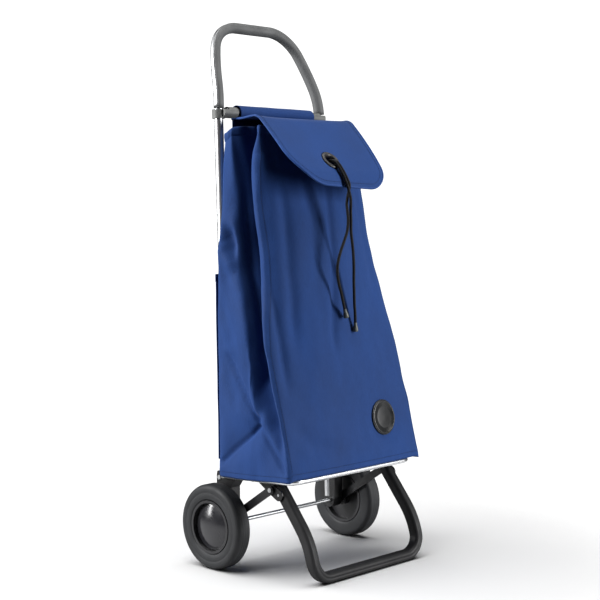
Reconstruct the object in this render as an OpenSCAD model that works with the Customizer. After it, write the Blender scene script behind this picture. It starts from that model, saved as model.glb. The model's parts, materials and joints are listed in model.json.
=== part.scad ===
// Folding shopping trolley: a two-wheeled tube frame with a shelf and a stand that fold up,
// and a fabric bag closed by a flap with a drawstring. Millimetres, +Z up, front towards -Y.
// The origin is on the floor under the middle of the bounding box.
// Shapes are drawn with Y = 0 at the axle, and on_frame() moves them to their place.

/* [Wheels] */
// Diameter over the tread
wheel_d = 165; // [150:1:170]
// Width of a wheel
wheel_w = 36; // [30:1:36]
// Distance between the wheels' outer faces
track_w = 413; // [413:1:430]
// Diameter of the axle rod
axle_d = 8; // [6:0.5:9]

/* [Frame] */
// Distance between the axes of the two uprights
upright_gap = 284; // [280:1:286]
// Diameter of the frame tube
tube_d = 18; // [16:0.5:18]
// Wall of the frame tube
tube_wall = 1.5; // [1:0.1:2]
// Lean of the uprights to the rear, in degrees
upright_lean = 2.2; // [1.5:0.1:2.5]
// Height at which the uprights end and the handle begins
upright_top_z = 890; // [888:1:892]
// Height of the crossbar's axis
crossbar_z = 882; // [880:1:884]
// Lean of the handle to the rear, in degrees
handle_lean = 21; // [15:1:24]
// Thickness of the soft cover on the handle
grip_wall = 1.8; // [1.5:0.1:2.5]

/* [Shelf and stand] */
// Distance between the axes of the shelf's side rails
shelf_w = 340; // [339:0.5:341]
// Length of the shelf from its hinge to its front bar
shelf_len = 182; // [180:1:184]
// Diameter of the shelf's tube
rail_d = 11; // [10:0.5:11]
// Distance between the axes of the stand's legs
stand_w = 300; // [296:1:300]
// Thickness of a stand leg, seen from the side
leg_deep = 24; // [20:1:26]
// Width of a stand leg, seen from the front
leg_wide = 20; // [16:1:20]

/* [Bag] */
// Half width of the bag at its base
bag_base_half = 190; // [180:1:190]
// Depth of the bag at its base
bag_base_deep = 203; // [200:1:204]
// Height of the bag's mouth
bag_top_z = 852; // [840:1:856]
// Thickness of the bag's wall
fabric = 3; // [2:0.5:4]
// Diameter of the drawstring
cord_d = 5.5; // [4:0.5:6]

/* [Hidden] */
$fn = 48;

aluminium = "#c9ccd0";
grip_grey = "#6b6d6e";
stand_grey = "#4b4d50";
black_plastic = "#262729";
tyre_grey = "#3a3b3d";
steel = "#b5b8bb";
bag_blue = "#2f4f93";
board_brown = "#4a4038";
cord_black = "#1c1c1e";
bush_white = "#f2f2f0";

run_gap = 0.05;                       // radial clearance of a pin in its hole
wheel_r = wheel_d / 2;
axle_z = wheel_r;
wheel_x = track_w / 2 - wheel_w / 2;  // middle plane of a wheel
upright_x = upright_gap / 2;
tube_r = tube_d / 2;
upright_foot_z = 90;
upright_y0 = 7.7;                     // the upright's axis at the height of the axle
rail_r = rail_d / 2;
rail_x = shelf_w / 2;
leg_x = stand_w / 2;

// Pivots of the folding linkage, seen from the side, as [y, z] from the axle
hinge_e = [-8, 180];                  // shelf on the frame
pivot_d = [-92, 184.6];               // stand on the shelf
pivot_c = [-129, 168];                // strut on the stand
shelf_slope = atan2(pivot_d[1] - hinge_e[1], hinge_e[0] - pivot_d[0]);

function upright_y(z) = upright_y0 + (z - axle_z) * tan(upright_lean);

// The handle's outline in its own plane: a bowed leg, then a corner, by heading angle
bow_start = 3;
bow_end = 19.7;
bow_r = 446;
corner_r = 75;
function bow_x(h) = upright_x - bow_r * (cos(bow_start) - cos(h));
function bow_s(h) = bow_r * (sin(h) - sin(bow_start));
function handle_x(h) = h <= bow_end ? bow_x(h)
    : bow_x(bow_end) - corner_r * (cos(bow_end) - cos(h));
function handle_s(h) = h <= bow_end ? bow_s(h)
    : bow_s(bow_end) + corner_r * (sin(h) - sin(bow_end));
// The handle's side view: a bend from the upright's lean to the handle's, then straight
bend_len = 56;
bend_r = bend_len / (handle_lean - upright_lean) * 180 / PI;
function side_lean(s) = upright_lean + (handle_lean - upright_lean) * min(s / bend_len, 1);
function side_y(s) = upright_y(upright_top_z) + bend_r * (cos(upright_lean) - cos(side_lean(s)))
    + max(s - bend_len, 0) * sin(handle_lean);
function side_z(s) = upright_top_z + bend_r * (sin(side_lean(s)) - sin(upright_lean))
    + max(s - bend_len, 0) * cos(handle_lean);
handle_headings = concat([for (h = [bow_start:2.783:bow_end + 0.1]) h], [for (h = [26:8:90]) h]);
handle_side = [for (h = handle_headings) [handle_x(h), handle_s(h)]];
handle_plan = concat(handle_side, [for (i = [len(handle_side) - 1:-1:0])
    [-handle_side[i][0], handle_side[i][1]]]);
handle_path = [for (p = handle_plan) [p[0], side_y(p[1]), side_z(p[1])]];
handle_refs = [for (p = handle_plan) [0, cos(side_lean(p[1])), -sin(side_lean(p[1]))]];

// The stand's side view: a straight leg at leg_angle, then an arc down to the floor bar
leg_angle = 51;
leg_arc_r = 150;
leg_top = [-132, 180];
bar_z = leg_wide / 2;
leg_straight = (leg_top[1] - bar_z - leg_arc_r * cos(leg_angle)) / sin(leg_angle);
leg_arc_len = leg_arc_r * (90 - leg_angle) * PI / 180;
leg_len = leg_straight + leg_arc_len;
leg_corner_r = 38;
leg_edge_r = 7;
function leg_heading(s) = leg_angle + max(s - leg_straight, 0) / leg_arc_r * 180 / PI;
function leg_y(s) = leg_top[0] - min(s, leg_straight) * cos(leg_angle)
    - leg_arc_r * (sin(leg_heading(s)) - sin(leg_angle));
function leg_z(s) = leg_top[1] - min(s, leg_straight) * sin(leg_angle)
    - leg_arc_r * (cos(leg_angle) - cos(leg_heading(s)));
corner_turns = [0:15:90];
leg_side = concat(
    [for (s = [0:leg_straight / 2:leg_straight]) [leg_x, s]],
    [for (k = [1:5]) [leg_x, leg_straight + (leg_arc_len - leg_corner_r) * k / 6]],
    [for (a = corner_turns) [leg_x - leg_corner_r * (1 - cos(a)),
        leg_len - leg_corner_r * (1 - sin(a))]],
    [[leg_x / 3, leg_len]]);
leg_plan = concat(leg_side, [for (i = [len(leg_side) - 1:-1:0])
    [-leg_side[i][0], leg_side[i][1]]]);
leg_path = [for (p = leg_plan) [p[0], leg_y(p[1]), leg_z(p[1])]];
leg_refs = [for (p = leg_plan) [0, -sin(leg_heading(p[1])), cos(leg_heading(p[1]))]];

// The bag's outside: [height, rise towards the front, rear half width, front half width,
// front edge, bulge of the front, rear]
bag_rings = [
    [186, 0.055, bag_base_half, bag_base_half, 5 - bag_base_deep, 5, 0],
    [297, 0, 187, 187, -172, 12, 1],
    [387, 0, 185, 185, -147, 20, 3],
    [478, 0, 184, 179, -122, 27, 5],
    [578, 0, 181, 163, -102, 30, 6],
    [712, 0, 162, 159, -76, 28, 11],
    [bag_top_z, 0, 148, 131, -55, 8, 16]];
bag_ring_steps = 8;

// The flap's side view: level, a fold, a straight slope, then a curve down to its edge
flap_hinge = [15.5, 869.5];
flap_level = 62.5;
flap_fold_r = 22;
flap_slope = 48;
flap_slope_len = 124;
flap_tip_r = 60;
flap_tip_slope = 80;
flap_t = 3;
flap_half = 130;
flap_tip_half = 124;
flap_corner_r = 45;
flap_fold_len = flap_fold_r * flap_slope * PI / 180;
flap_tip_len = flap_tip_r * (flap_tip_slope - flap_slope) * PI / 180;
flap_len = flap_level + flap_fold_len + flap_slope_len + flap_tip_len;
function flap_dip(s) = s < flap_level ? 0
    : s < flap_level + flap_fold_len ? (s - flap_level) / flap_fold_r * 180 / PI
    : s < flap_len - flap_tip_len ? flap_slope
    : flap_slope + (s - flap_len + flap_tip_len) / flap_tip_r * 180 / PI;
function flap_y(s) = flap_hinge[0] - min(s, flap_level)
    - flap_fold_r * sin(min(flap_dip(s), flap_slope))
    - min(max(s - flap_level - flap_fold_len, 0), flap_slope_len) * cos(flap_slope)
    - flap_tip_r * max(sin(flap_dip(s)) - sin(flap_slope), 0);
function flap_z(s) = flap_hinge[1]
    - flap_fold_r * (1 - cos(min(flap_dip(s), flap_slope)))
    - min(max(s - flap_level - flap_fold_len, 0), flap_slope_len) * sin(flap_slope)
    - flap_tip_r * max(cos(flap_slope) - cos(flap_dip(s)), 0);
function flap_normal(s) = [0, -sin(flap_dip(s)), cos(flap_dip(s))];
function flap_edge(s) = flap_half - (flap_half - flap_tip_half) * s / flap_len
    - (s < flap_len - flap_corner_r ? 0 : flap_corner_r
    * (1 - sqrt(max(0, 1 - pow((s - flap_len + flap_corner_r) / flap_corner_r, 2)))));
flap_stops = concat([0, 30, flap_level], [for (k = [1:4]) flap_level + flap_fold_len * k / 4],
    [flap_len - flap_tip_len - 60, flap_len - flap_tip_len - 20, flap_len - flap_corner_r],
    [for (k = [1:8]) flap_len - flap_corner_r * (1 - sin(k * 11))]);
binding_d = 5;
binding_in = 0.2;

// The eyelet sits on the slope of the flap
eyelet_x = -6;
eyelet_s = flap_level + flap_fold_len + 101;
eyelet_r = 21;
eyelet_hole_r = 12;
eyelet_t = 2.5;
flap_hole_r = 14;

// Routes of the two drawstring ends, from the eyelet down to their end pieces
left_cord_route = [[-3, -131, 787], [-2, -138, 788], [0, -146, 784], [3, -153, 774],
    [6, -162, 758], [8, -169, 741], [9, -166, 728], [8, -164, 716], [6, -164, 704],
    [6, -166, 690], [7, -167, 672], [4, -167, 652], [-3, -166, 634], [-11, -165, 616],
    [-17, -164, 598], [-19, -163, 582], [-17, -162, 566], [-12, -161, 550],
    [-6, -161, 534], [0, -160, 518], [5, -160, 502]];
right_cord_route = [[-9, -131, 787], [-8, -138, 788], [-6, -146, 784], [-3, -153, 774],
    [0, -162, 758], [2, -169, 741], [4, -172, 728], [8, -172, 716], [12, -169, 704],
    [14, -167, 690], [15, -167, 672], [15, -167, 652], [18, -167, 634], [22, -166, 616],
    [25, -165, 598], [27, -164, 578], [28, -163, 556], [29, -163, 534], [31, -162, 512],
    [33, -162, 492], [35, -161, 474]];
cord_sides = 8;
cord_end_len = 18;
cord_end_r = 3.2;
cord_end_foot_r = 5.5;

// The round badge low on the bag's front
badge_at = [90, -185.6, 284];
badge_tilt = 10.5;
badge_turn = 3.5;
badge_r = 35;
badge_t = 3;
badge_ring_t = 1.5;
badge_ring_wide = 5;
backing_r = 20;
backing_t = 2;
backing_lift = -8.5;

// The object's box is centred on Y = 0
rear_y = side_y(handle_s(90)) + tube_r;
front_y = leg_y(leg_len) - leg_deep / 2;
axle_y = -(rear_y + front_y) / 2;

// ---- helpers ----

function unit(v) = v / norm(v);

// One ring of a sweep: an outline [across, up] set square to the path at point i
function sweep_ring(path, refs, i, outline) =
    let (ahead = path[min(i + 1, len(path) - 1)] - path[max(i - 1, 0)],
        across = unit(cross(ahead, refs[i])),
        up = unit(cross(across, ahead)))
    [for (o = outline) path[i] + o[0] * across + o[1] * up];

function sweep(path, refs, outline) =
    [for (i = [0:len(path) - 1]) sweep_ring(path, refs, i, outline)];

function round_outline(r, sides) = [for (i = [0:sides - 1])
    [r * cos(360 * (i + 0.5) / sides), r * sin(360 * (i + 0.5) / sides)]];

function soft_box_outline(a, b, r) = [for (k = [0:3]) for (t = [0:30:90])
    [(k == 0 || k == 3 ? 1 : -1) * (a - r) + r * cos(90 * k + t),
    (k < 2 ? 1 : -1) * (b - r) + r * sin(90 * k + t)]];

// Closed solid through a list of rings, with both ends capped; convex ends get a fan
module skin(rings, convex_ends = false) {
    n = len(rings[0]);
    m = len(rings);
    walls = [for (i = [0:m - 2]) for (j = [0:n - 1])
        let (a = i * n + j, b = i * n + (j + 1) % n) each [[a, b, b + n], [a, b + n, a + n]]];
    last = (m - 1) * n;
    first_cap = convex_ends ? [for (j = [1:n - 2]) [0, j + 1, j]]
        : [[for (j = [n - 1:-1:0]) j]];
    last_cap = convex_ends ? [for (j = [1:n - 2]) [last, last + j, last + j + 1]]
        : [[for (j = [0:n - 1]) last + j]];
    polyhedron([for (r = rings) each r], concat(first_cap, walls, last_cap));
}

module on_frame() translate([0, axle_y, 0]) children();

// side is -1 for the left and 1 for the right, seen from the front
module on_side(side) {
    if (side < 0) on_frame() mirror([1, 0, 0]) children();
    else on_frame() children();
}

// A cylinder along X from x0 to x1, at [y, z]
module x_rod(at, r, x0, x1) translate([x0, at[0], at[1]]) rotate([0, 90, 0])
    cylinder(r = r, h = x1 - x0);

// Children drawn in the shelf's own plane, with its hinge at the origin
module in_shelf_plane() translate([0, hinge_e[0], hinge_e[1]]) rotate([-shelf_slope, 0, 0])
    children();

// ---- frame ----

module tube_axis(z0, z1, r) translate([upright_x, upright_y(z0), z0])
    rotate([-upright_lean, 0, 0]) cylinder(r = r, h = (z1 - z0) / cos(upright_lean));

module upright(side) color(aluminium) on_side(side) difference() {
    tube_axis(upright_foot_z, upright_top_z - 1.2, tube_r);
    tube_axis(upright_foot_z - 1, upright_top_z, tube_r - tube_wall);
}
module left_upright() upright(-1);
module right_upright() upright(1);

module handle_tube() color(aluminium) on_frame()
    skin(sweep(handle_path, handle_refs, round_outline(tube_r, 16)));

// The cover wraps the inner and front half of the tube
grip_from = -135;
grip_to = 75;
grip_in_r = tube_r + 0.2;
grip_outline = concat(
    [for (a = [grip_from:15:grip_to]) (grip_in_r + grip_wall) * [cos(a), sin(a)]],
    [for (a = [grip_to:-15:grip_from]) grip_in_r * [cos(a), sin(a)]]);
module handle_grip() color(grip_grey) on_frame()
    skin(sweep(handle_path, handle_refs, grip_outline));

crossbar_y = 30;
crossbar_r = 8;
clamp_z0 = 870;
clamp_z1 = upright_top_z - 2;
clamp_r = 12.5;
clamp_in_x = 104;
clamp_arm_x = 130.8;
clamp_arm_r = 11;
screw_r = 2;
screw_head_r = 3.5;
head_t = 2;
screw_z = 879;
tube_short = 2;
module crossbar_tube() color(aluminium) on_frame() difference() {
    x_rod([crossbar_y, crossbar_z], crossbar_r, tube_short - clamp_arm_x,
        clamp_arm_x - tube_short);
    x_rod([crossbar_y, crossbar_z], crossbar_r - tube_wall, -clamp_arm_x, clamp_arm_x);
}

module crossbar_clamp(side) color(grip_grey) on_side(side) difference() {
    union() {
        tube_axis(clamp_z0, clamp_z1 - 0.5, clamp_r);
        x_rod([crossbar_y, crossbar_z], clamp_arm_r, clamp_in_x, upright_x);
    }
    translate([clamp_arm_x - 2, crossbar_y - upright_x, clamp_z1]) cube(2 * upright_x);
    tube_axis(clamp_z0 - 1, upright_top_z, tube_r + run_gap);
    x_rod([crossbar_y, crossbar_z], crossbar_r + run_gap, clamp_in_x - 1, clamp_arm_x - 1.5);
    translate([upright_x, upright_y(screw_z) + tube_r, screw_z]) rotate([-90, 0, 0])
        cylinder(r = screw_r + run_gap, h = clamp_r);
}
module left_crossbar_clamp() crossbar_clamp(-1);
module right_crossbar_clamp() crossbar_clamp(1);

module clamp_screws() color(steel) for (side = [-1, 1]) on_side(side)
    translate([upright_x, upright_y(screw_z) + tube_r + 0.2, screw_z]) rotate([-90, 0, 0]) {
        cylinder(r = screw_r, h = clamp_r - tube_r + 0.3);
        translate([0, 0, clamp_r - tube_r + 0.1]) cylinder(r = screw_head_r, h = head_t);
    }

// Moulded bracket that joins the upright's foot, the axle and the shelf's hinge
bracket_in_x = 136;
bracket_out_x = 160;
bracket_side = [[26, 183], [-20, 183], [-24, 179], [-24, 170], [-13, 155], [-13, 88],
    [-9, 72], [0, 67], [12, 68], [22, 80], [28, 100], [28, 176]];
bracket_rivets_at = [[20, 171], [-14, 144], [19, 110]];
rivet_r = 2.5;
rivet_head_r = 4.5;
rivet_sunk = 5.5;
hinge_pin_in_x = 152.5;
module axle_bracket(side) color(black_plastic) on_side(side) difference() {
    union() {
        translate([bracket_in_x, 0, 0]) rotate([90, 0, 90])
            linear_extrude(bracket_out_x - bracket_in_x) polygon(bracket_side);
        x_rod(hinge_e, rail_r, bracket_out_x - 1, rail_x - rail_r - 0.4);
    }
    tube_axis(upright_foot_z - 0.5, 190, tube_r + run_gap);
    x_rod([0, axle_z], axle_d / 2 + run_gap, bracket_in_x - 1, bracket_out_x + 1);
    x_rod(hinge_e, rivet_r + run_gap, hinge_pin_in_x - 0.5, rail_x);
    for (at = bracket_rivets_at)
        x_rod(at, rivet_r + run_gap, bracket_out_x - rivet_sunk - 0.5, bracket_out_x + 1);
}
module left_axle_bracket() axle_bracket(-1);
module right_axle_bracket() axle_bracket(1);

module bracket_rivets() color(steel) for (side = [-1, 1]) for (at = bracket_rivets_at)
    on_side(side) {
        x_rod(at, rivet_r, bracket_out_x - rivet_sunk, bracket_out_x + 1);
        x_rod(at, rivet_head_r, bracket_out_x + 0.1, bracket_out_x + 1.8);
    }

axle_end_x = 203;
nut_r = 8;
module axle_rod() color(steel) on_frame()
    x_rod([0, axle_z], axle_d / 2, -axle_end_x, axle_end_x);

module axle_end_nuts() color(black_plastic) for (side = [-1, 1]) on_side(side)
    difference() {
        x_rod([0, axle_z], nut_r, wheel_x + 10.7, axle_end_x);
        x_rod([0, axle_z], axle_d / 2 + run_gap, wheel_x + 10, axle_end_x + 1);
    }

washer_x0 = 168.4;
washer_x1 = 170.2;
module axle_washers() color(steel) for (side = [-1, 1]) on_side(side) difference() {
    x_rod([0, axle_z], nut_r + 1, washer_x0, washer_x1);
    x_rod([0, axle_z], axle_d / 2 + run_gap, washer_x0 - 1, washer_x1 + 1);
}

pin_end_x = rail_x + rail_r + 2.3;
module shelf_pivot_pins() color(steel) for (side = [-1, 1]) on_side(side) {
    x_rod(hinge_e, rivet_r, hinge_pin_in_x, pin_end_x);
    x_rod(hinge_e, rivet_head_r, pin_end_x - head_t, pin_end_x);
}

// ---- bag ----

// The sleeve round the crossbar ends in a skirt behind the mouth
sleeve_half = 103;
sleeve_r = 15.5;
skirt_y = 17.3;
skirt_z = 840;
module hanging_sleeve() color(bag_blue) on_frame() difference() {
    union() {
        x_rod([crossbar_y, crossbar_z], sleeve_r, -sleeve_half, sleeve_half);
        translate([-sleeve_half, skirt_y, skirt_z])
            cube([2 * sleeve_half, fabric, crossbar_z - skirt_z]);
    }
    x_rod([crossbar_y, crossbar_z], crossbar_r + run_gap, -sleeve_half - 1, sleeve_half + 1);
}

// One ring of the bag, set in by a wall, turned clockwise as seen from above
function bag_ring(r, inset) = let (rear_half = r[2] - inset, front_half = r[3] - inset,
    front = r[4] + inset, rear = r[6] - inset)
    concat([for (i = [0:bag_ring_steps]) let (k = 2 * i / bag_ring_steps - 1,
            y = front - r[5] * (1 - k * k))
            [-front_half * k, y, r[0] + inset * sign(r[1]) - r[1] * y]],
        [for (k = [-1:0.5:1])
            [rear_half * k, rear, r[0] + inset * sign(r[1]) - r[1] * rear]]);

module bag_shell() color(bag_blue) on_frame() skin(concat(
    [for (r = bag_rings) bag_ring(r, 0)],
    [for (i = [len(bag_rings) - 1:-1:0]) bag_ring(bag_rings[i], fabric)]), true);

// A thin pocket on the rear of the bag, in front of the uprights: [height, front, rear]
pocket_rings = [[212, 0.7, 2.7], [574, 6.9, 8.9]];
pocket_half = 178;
module rear_pocket() color(bag_blue) on_frame() skin([for (r = pocket_rings)
    [[pocket_half, r[1], r[0]], [-pocket_half, r[1], r[0]],
    [-pocket_half, r[2], r[0]], [pocket_half, r[2], r[0]]]]);

hem_wall = 6;
hem_h = 8;
mouth = bag_rings[len(bag_rings) - 1];
module mouth_outline(inset) polygon([for (side = [-1, 1]) for (rear = [side, -side])
    rear > 0 ? [side * (mouth[2] - inset), mouth[6] - inset]
    : [side * (mouth[3] - inset), mouth[4] + inset]]);
module drawstring_hem() color(bag_blue) on_frame() translate([0, 0, bag_top_z + 0.4])
    linear_extrude(hem_h) difference() {
        mouth_outline(0);
        mouth_outline(hem_wall);
    }

board_half = 176;
board_t = 3;
board_deep = 168;
board_front = 4;
board_lift = 4.6;
module base_board() color(board_brown) on_frame() in_shelf_plane()
    translate([-board_half, board_front - shelf_len, rail_r + board_lift])
        cube([2 * board_half, board_deep, board_t]);

// ---- wheels ----

tyre_in_r = 52;
shoulder_r = 9;
bush_r = 7;
hub_rim_w = 34;
hub_web_w = 12;
cap_r = 45.5;
boss_wall = 8;
boss_end = 9.7;
module wheel_at(side) on_side(side) translate([wheel_x, 0, axle_z]) rotate([0, 90, 0])
    children();

module tyre(side) color(tyre_grey) wheel_at(side) rotate_extrude() {
    half = wheel_w / 2;
    translate([tyre_in_r, -half]) square([wheel_r - shoulder_r - tyre_in_r, wheel_w]);
    translate([tyre_in_r, shoulder_r - half])
        square([wheel_r - tyre_in_r, wheel_w - 2 * shoulder_r]);
    for (end = [-1, 1]) translate([wheel_r - shoulder_r, end * (half - shoulder_r)])
        circle(r = shoulder_r);
}
module left_tyre() tyre(-1);
module right_tyre() tyre(1);

module wheel_hub(side) color(black_plastic) wheel_at(side) rotate_extrude() {
    translate([cap_r + 1, -hub_rim_w / 2])
        square([tyre_in_r - 0.1 - cap_r - 1, hub_rim_w]);
    translate([bush_r + run_gap, -hub_web_w / 2]) square([cap_r + 2 - bush_r, hub_web_w]);
    translate([bush_r + run_gap, -wheel_w / 2 + 0.3]) square([boss_wall, wheel_w / 2 + boss_end]);
}
module left_wheel_hub() wheel_hub(-1);
module right_wheel_hub() wheel_hub(1);

// A shallow dome over the outer side of the hub
dome_r = 160;
cap_t = 2;
cap_edge = 8;
module hub_cap(side) color(tyre_grey) wheel_at(side) rotate_extrude() intersection() {
    translate([0, wheel_w / 2 - dome_r]) difference() {
        circle(r = dome_r, $fn = 96);
        circle(r = dome_r - cap_t, $fn = 96);
    }
    translate([0, cap_edge]) square([cap_r, wheel_w]);
}
module left_hub_cap() hub_cap(-1);
module right_hub_cap() hub_cap(1);

module wheel_bush(side) color(bush_white) wheel_at(side) difference() {
    translate([0, 0, -wheel_w / 2 + 0.2]) cylinder(r = bush_r, h = wheel_w / 2 + boss_end + 0.3);
    translate([0, 0, -wheel_w]) cylinder(r = axle_d / 2 + run_gap, h = 2 * wheel_w);
}
module left_wheel_bush() wheel_bush(-1);
module right_wheel_bush() wheel_bush(1);

// ---- shelf ----

shelf_corner_r = 25;
rail_wall = 1.5;
rail_rear = 9;
module shelf_tube(r, extra) {
    for (side = [-1, 1]) {
        translate([side * rail_x, shelf_corner_r - shelf_len, 0]) rotate([-90, 0, 0])
            cylinder(r = r, h = shelf_len - shelf_corner_r + rail_rear + extra);
        translate([side * (rail_x - shelf_corner_r), shelf_corner_r - shelf_len, 0])
            rotate([0, 0, side < 0 ? 180 : 270]) rotate_extrude(angle = 90)
                translate([shelf_corner_r, 0]) circle(r = r);
    }
    translate([shelf_corner_r - rail_x, -shelf_len, 0]) rotate([0, 90, 0])
        cylinder(r = r, h = 2 * (rail_x - shelf_corner_r));
}
module shelf_frame() color(aluminium) on_frame() difference() {
    in_shelf_plane() difference() {
        shelf_tube(rail_r, 0);
        shelf_tube(rail_r - rail_wall, 1);
    }
    for (at = [hinge_e, pivot_d])
        x_rod(at, rivet_r + run_gap, -rail_x - wheel_w, rail_x + wheel_w);
}

plug_len = 4;
plug_rim = 1.8;
module shelf_end_plugs() color(black_plastic) on_frame() in_shelf_plane()
    for (side = [-1, 1]) translate([side * rail_x, rail_rear - plug_len, 0])
        rotate([-90, 0, 0]) {
            cylinder(r = rail_r - rail_wall - run_gap, h = plug_len + 0.2);
            translate([0, 0, plug_len + 0.1]) cylinder(r = rail_r, h = plug_rim);
        }

plate_in_x = leg_x + leg_wide / 2 + 0.3;
plate_t = 3.2;
module stand_pivot_pins() color(steel) for (side = [-1, 1]) on_side(side) {
    x_rod(pivot_d, rivet_r, plate_in_x - 2.3, pin_end_x);
    x_rod(pivot_d, rivet_head_r, plate_in_x - 2.5, plate_in_x - 0.4);
    x_rod(pivot_d, rivet_head_r, pin_end_x - head_t, pin_end_x);
}

// ---- stand ----

plate_rivet_at = [-146, 160];
plate_tip_r = 5;
plate_mid_r = 10;
plate_foot_r = 11;
module stand_tube() color(stand_grey) on_frame() difference() {
    skin(sweep(leg_path, leg_refs, soft_box_outline(leg_wide / 2, leg_deep / 2, leg_edge_r)));
    for (side = [-1, 1]) x_rod(plate_rivet_at, rivet_r + run_gap,
        side < 0 ? -plate_in_x : leg_x, side < 0 ? -leg_x : plate_in_x);
}

module stand_plate(side) color(black_plastic) on_side(side) difference() {
    translate([plate_in_x, 0, 0]) rotate([90, 0, 90]) linear_extrude(plate_t) hull() {
        translate(pivot_d) circle(r = plate_tip_r);
        translate(pivot_c) circle(r = plate_mid_r);
        translate(plate_rivet_at) circle(r = plate_foot_r);
    }
    for (at = [pivot_d, plate_rivet_at])
        x_rod(at, rivet_r + run_gap, plate_in_x - 1, plate_in_x + plate_t + 1);
}
module left_stand_plate() stand_plate(-1);
module right_stand_plate() stand_plate(1);

module stand_plate_rivets() color(steel) for (side = [-1, 1]) on_side(side)
    x_rod(plate_rivet_at, rivet_r, leg_x + 1, plate_in_x + plate_t - 0.1);

strut_in_x = 164;
strut_out_x = 168;
strut_half = 7.5;
strut_angle = atan2(pivot_c[1] - axle_z, -pivot_c[0]);
strut_len = norm([pivot_c[0], pivot_c[1] - axle_z]);
module strut(side) color(black_plastic) on_side(side) difference() {
    union() {
        translate([strut_in_x, 0, axle_z]) rotate([-strut_angle, 0, 0])
            translate([0, -strut_len, -strut_half])
                cube([strut_out_x - strut_in_x, strut_len, 2 * strut_half]);
        x_rod(pivot_c, strut_half, strut_in_x, strut_out_x);
        x_rod([0, axle_z], strut_half + 2, bracket_out_x + 0.5, strut_out_x);
    }
    x_rod([0, axle_z], axle_d / 2 + run_gap, bracket_out_x, strut_out_x + 1);
    x_rod(pivot_c, rivet_r + run_gap, strut_in_x - 1, strut_out_x + 1);
}
module left_strut() strut(-1);
module right_strut() strut(1);

module strut_rivet(side) color(steel) on_side(side) {
    x_rod(pivot_c, rivet_r, strut_in_x, strut_out_x + 1);
    x_rod(pivot_c, rivet_head_r, strut_out_x + 0.1, strut_out_x + 2);
}
module left_strut_rivet() strut_rivet(-1);
module right_strut_rivet() strut_rivet(1);

// ---- flap ----

module at_eyelet(lift) on_frame() translate([eyelet_x, flap_y(eyelet_s), flap_z(eyelet_s)])
    rotate([flap_slope, 0, 0]) translate([0, 0, lift]) children();

module flap_panel() color(bag_blue) difference() {
    on_frame() skin([for (s = flap_stops) let (half = flap_edge(s), c = [0, flap_y(s),
        flap_z(s)], n = flap_normal(s) * flap_t / 2)
        [c + [half, 0, 0] + n, c + [half, 0, 0] - n, c + [-half, 0, 0] - n,
        c + [-half, 0, 0] + n]]);
    at_eyelet(-flap_t) cylinder(r = flap_hole_r, h = 2 * flap_t);
}

binding_out = binding_d / 2 + binding_in;
binding_side = [for (s = flap_stops) [flap_edge(s) + binding_out
    * (s < flap_len - flap_corner_r ? 1 : cos(asin((s - flap_len + flap_corner_r)
    / flap_corner_r))), s + (s < flap_len - flap_corner_r ? 0 : binding_out
    * (s - flap_len + flap_corner_r) / flap_corner_r)]];
function on_flap(p) = [p[0], flap_y(min(p[1], flap_len)),
    flap_z(min(p[1], flap_len)) - max(p[1] - flap_len, 0)];
binding_tip_x = 40;
binding_plan = concat(binding_side, [[binding_tip_x, flap_len + binding_out]],
    [[-binding_tip_x, flap_len + binding_out]], [for (i = [len(binding_side) - 1:-1:0])
    [-binding_side[i][0], binding_side[i][1]]]);
module flap_binding() color(bag_blue) on_frame() skin(sweep(
    [for (p = binding_plan) on_flap(p)], [for (p = binding_plan) flap_normal(p[1])],
    round_outline(binding_d / 2, 8)));

module grommet_front() color(black_plastic) at_eyelet(flap_t / 2 + 0.2) difference() {
    cylinder(r = eyelet_r, h = eyelet_t);
    translate([0, 0, -1]) cylinder(r = eyelet_hole_r, h = eyelet_t + 2);
}
module grommet_back() color(black_plastic) at_eyelet(-flap_t / 2 - 0.2 - eyelet_t)
    difference() {
        union() {
            cylinder(r = eyelet_r - 1, h = eyelet_t);
            cylinder(r = flap_hole_r - 0.3, h = eyelet_t + flap_t + 0.3);
        }
        translate([0, 0, -1]) cylinder(r = eyelet_hole_r, h = 3 * eyelet_t + flap_t);
    }

module cord(route) color(cord_black) on_frame() skin(sweep(route,
    [for (p = route) [1, 0, 0]], round_outline(cord_d / 2, cord_sides)));
module left_cord() cord(left_cord_route);
module right_cord() cord(right_cord_route);

// A bell-shaped end piece, wide at its foot, in line with the end of the cord
module cord_end(route) color(grip_grey) on_frame() {
    last = route[len(route) - 1];
    dir = unit(last - route[len(route) - 2]);
    turn = acos(-dir[2]);
    translate(last) rotate(turn, cross([0, 0, -1], dir)) mirror([0, 0, 1])
        rotate_extrude() polygon([[0, 0.1], [cord_end_r, 0.1], [cord_end_r + 0.4, 5],
            [cord_end_foot_r, 12], [cord_end_foot_r, cord_end_len], [0, cord_end_len]]);
}
module left_cord_end() cord_end(left_cord_route);
module right_cord_end() cord_end(right_cord_route);

// ---- badge ----

module at_badge(lift) on_frame() translate(badge_at) rotate([0, 0, badge_turn])
    rotate([90 - badge_tilt, 0, 0]) translate([0, 0, lift]) children();
module badge_disc() color(black_plastic) at_badge(0) cylinder(r = badge_r, h = badge_t);
module badge_ring() color(black_plastic) at_badge(badge_t + 0.1) difference() {
    cylinder(r = badge_r - 1, h = badge_ring_t);
    translate([0, 0, -1]) cylinder(r = badge_r - 1 - badge_ring_wide, h = badge_ring_t + 2);
}
module badge_backing() color(black_plastic) at_badge(backing_lift)
    cylinder(r = backing_r, h = backing_t);

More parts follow.
